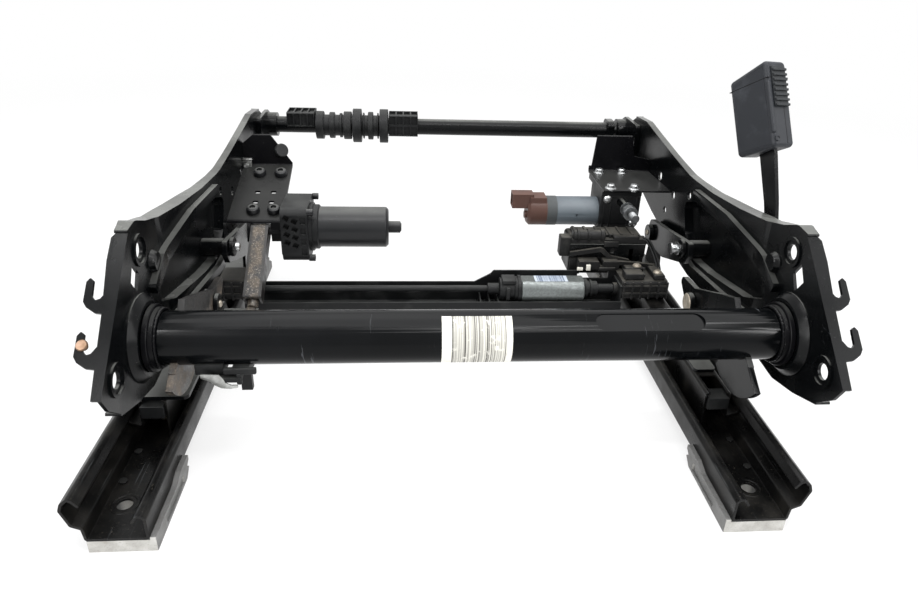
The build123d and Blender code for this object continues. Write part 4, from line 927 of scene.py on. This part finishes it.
class SEATBASE_OT_buckle_trim(bpy.types.Operator):
    """Edge rib and rivet on the buckle's shell, and painted shadows in its seams"""

    bl_idname = "seatbase.buckle_trim"
    bl_label = "Trim the buckle"

    def execute(self, context):
        across = Vector(BUCKLE_BROAD).normalized()
        up = Vector(BUCKLE_AXIS)
        up = (up - across * up.dot(across)).normalized()
        turn = Matrix((across, up.cross(across), up)).transposed().to_4x4()
        place = Matrix.Translation(Vector(BUCKLE_FOOT) * MM) @ turn
        half = BUCKLE_WIDTH / 2
        deep = BUCKLE_DEPTH / 2
        lid = BUCKLE_HEIGHT - BUCKLE_LID
        proud = 0.12
        # Thin near-black strips, just proud of the shell, paint the shadow in the seam round the lid and in
        # the seam down one side.
        slab = block((-half - proud, -deep - proud, lid - 0.4), (half + proud, deep + proud, lid + 0.2), 0.1)
        core = block((-half + 0.6, -deep + 0.6, lid - 5.0), (half - 0.6, deep - 0.6, lid + 5.0), 0.1)
        side_seam_shadow = block((half - 0.4, 3.0, 3.0), (half + proud, 3.6, lid), 0.1)
        seam_shadows = joined([cut_away(slab, core), side_seam_shadow])
        bmesh.ops.transform(seam_shadows, matrix=place, verts=seam_shadows.verts)
        finish_mesh("buckle_seam_shadows", seam_shadows, MATERIALS["painted_seam_shadow"], "buckle")
        edge_rib = block((half - 3.0, -deep - 0.5, 12.0), (half + 0.7, -deep + 4.0, lid - 3.0), 1.4)
        rivet = turned(BUCKLE_RIVET, (half, -deep + 3.6, 7.0), ACROSS)
        rib = joined([edge_rib, rivet])
        bmesh.ops.transform(rib, matrix=place, verts=rib.verts)
        finish_mesh("buckle_rib", rib, MATERIALS["buckle"], "buckle")
        return {"FINISHED"}


class SEATBASE_OT_stage(bpy.types.Operator):
    """Lays the pale floor, hangs the lights and sets the camera"""

    bl_idname = "seatbase.stage"
    bl_label = "Set the stage"

    def execute(self, context):
        settings = context.scene.seat_base
        lay_floor()
        light_world(settings.world_level)
        hang_light("Key light", (0.1, 0.1, 1.5), (0.0, 0.0, 0.0), (1.8, 1.4), settings.key_power)
        hang_light("Left fill", (-1.5, -0.9, 0.9), (0.0, 0.0, 0.1), (0.9, 1.2), settings.fill_power)
        hang_light("Right fill", (1.5, -0.7, 0.9), (0.0, 0.0, 0.1), (0.9, 1.2), settings.fill_power)
        hang_light("Left strip", (-0.7, -0.9, 0.7), (0.0, -0.1, 0.1), (0.05, 0.9), settings.strip_power)
        hang_light("Right strip", (0.75, -0.9, 0.7), (0.0, -0.1, 0.1), (0.05, 0.9), settings.strip_power)
        hang_light("Top strip", (0.0, -0.35, 1.0), (0.0, -0.1, 0.1), (1.4, 0.05), settings.strip_power)
        set_camera()
        context.scene.view_settings.view_transform = "Standard"
        return {"FINISHED"}


def seen_or_mirrored(tree):
    """One for a ray from the camera, off gloss or through glass, and nought for light on matt surfaces."""
    rays = put(tree, "ShaderNodeLightPath").node.outputs
    seen = put(tree, MATH, (rays["Is Camera Ray"], rays["Is Glossy Ray"]), operation="MAXIMUM")
    return put(tree, MATH, (seen, rays["Is Transmission Ray"]), operation="MAXIMUM")


def lay_floor():
    """Pale floor that keeps the shadow and shows white where it runs out of sight."""
    bm = bmesh.new()
    bmesh.ops.create_grid(bm, x_segments=1, y_segments=1, size=6.0)
    mesh = bpy.data.meshes.new("floor")
    bm.to_mesh(mesh)
    bm.free()
    floor = bpy.data.objects.new("floor", mesh)
    bpy.context.scene.collection.objects.link(floor)
    material, tree, shader, place = surface("White painted board")
    cloud = grain(tree, place, 400, 3)
    colour = put(tree, MIX, {0: cloud, 6: rgba("#fdfdfd"), 7: rgba("#f6f6f6")}, 2, data_type="RGBA")
    tree.links.new(colour, shader.inputs["Base Color"])
    shader.inputs["Roughness"].default_value = 0.85
    glow = put(tree, "ShaderNodeEmission", {"Color": rgba("#ffffff"), "Strength": 1.0})
    away = put(tree, "ShaderNodeVectorMath", (place,), "Value", operation="LENGTH")
    share = put(tree, RANGE, (away, 0.5, 1.8, 0.72, 1.0))
    share = put(tree, MATH, (seen_or_mirrored(tree), share), operation="MULTIPLY")
    mixed = put(tree, "ShaderNodeMixShader", (share, shader.outputs["BSDF"], glow))
    tree.links.new(mixed, tree.nodes["Material Output"].inputs["Surface"])
    mesh.materials.append(material)


def light_world(level):
    """White surroundings: full white where they are seen or mirrored, softer as light."""
    world = bpy.data.worlds.new("White room")
    bpy.context.scene.world = world
    world.use_nodes = True
    tree = world.node_tree
    strength = put(tree, RANGE, (seen_or_mirrored(tree), 0.0, 1.0, level, 1.0))
    background = tree.nodes["Background"]
    background.inputs["Color"].default_value = rgba("#ffffff")
    tree.links.new(strength, background.inputs["Strength"])


def hang_light(name, place, target, size, power):
    """Rectangular soft light that faces a point, in metres."""
    lamp = bpy.data.lights.new(name, "AREA")
    lamp.shape = "RECTANGLE"
    lamp.size, lamp.size_y = size
    lamp.energy = power
    holder = bpy.data.objects.new(name, lamp)
    bpy.context.scene.collection.objects.link(holder)
    away = Vector(place) - Vector(target)
    holder.matrix_world = Matrix.Translation(place) @ away.to_track_quat("Z", "Y").to_matrix().to_4x4()


def set_camera():
    """Camera that sees the seat base as the photograph does."""
    view = bpy.data.cameras.new("Photograph's camera")
    view.sensor_width = 36.0
    view.lens = view.sensor_width * FOCAL_PIXELS / IMAGE_WIDTH
    view.shift_x = (IMAGE_WIDTH / 2 - CENTRE_PIXEL[0]) / IMAGE_WIDTH
    view.shift_y = (CENTRE_PIXEL[1] - IMAGE_HEIGHT / 2) / IMAGE_WIDTH
    flat = cos(CAMERA_PITCH)
    forward = Vector((sin(CAMERA_YAW) * flat, cos(CAMERA_YAW) * flat, -sin(CAMERA_PITCH)))
    right = Vector((cos(CAMERA_YAW), -sin(CAMERA_YAW), 0.0))
    down = forward.cross(right)
    across = cos(CAMERA_ROLL) * right + sin(CAMERA_ROLL) * down
    along = -sin(CAMERA_ROLL) * right + cos(CAMERA_ROLL) * down
    holder = bpy.data.objects.new("Photograph's camera", view)
    bpy.context.scene.collection.objects.link(holder)
    turn = Matrix((across, -along, -forward)).transposed().to_4x4()
    holder.matrix_world = Matrix.Translation(Vector(CAMERA_PLACE) * MM) @ turn
    bpy.context.scene.camera = holder


class SEATBASE_PT_panel(bpy.types.Panel):
    """Lists the steps that dress the seat base"""

    bl_idname = "SEATBASE_PT_panel"
    bl_label = "Seat base"
    bl_space_type = "VIEW_3D"
    bl_region_type = "UI"
    bl_category = "Seat base"

    def draw(self, context):
        settings = context.scene.seat_base
        for name in ("edge", "paint", "plastic", "key_power", "fill_power", "strip_power", "world_level"):
            self.layout.prop(settings, name)
        for operator in OPERATORS:
            self.layout.operator(operator.bl_idname)


OPERATORS = (SEATBASE_OT_finishes, SEATBASE_OT_fasteners, SEATBASE_OT_labels, SEATBASE_OT_motor_trim,
             SEATBASE_OT_control, SEATBASE_OT_buckle_trim, SEATBASE_OT_stage)
CLASSES = (SeatBaseSettings, *OPERATORS, SEATBASE_PT_panel)


def register():
    """Registers the classes and hangs the settings on the scene."""
    for item in CLASSES:
        bpy.utils.register_class(item)
    bpy.types.Scene.seat_base = bpy.props.PointerProperty(type=SeatBaseSettings)


def unregister():
    """Takes the settings and the classes away again."""
    del bpy.types.Scene.seat_base
    for item in reversed(CLASSES):
        bpy.utils.unregister_class(item)


def main():
    """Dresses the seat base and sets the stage."""
    register()
    bpy.ops.seatbase.finishes()
    bpy.ops.seatbase.fasteners()
    bpy.ops.seatbase.labels()
    bpy.ops.seatbase.motor_trim()
    bpy.ops.seatbase.control()
    bpy.ops.seatbase.buckle_trim()
    bpy.ops.seatbase.stage()
    bpy.context.view_layer.update()


if __name__ == "__main__":
    main()
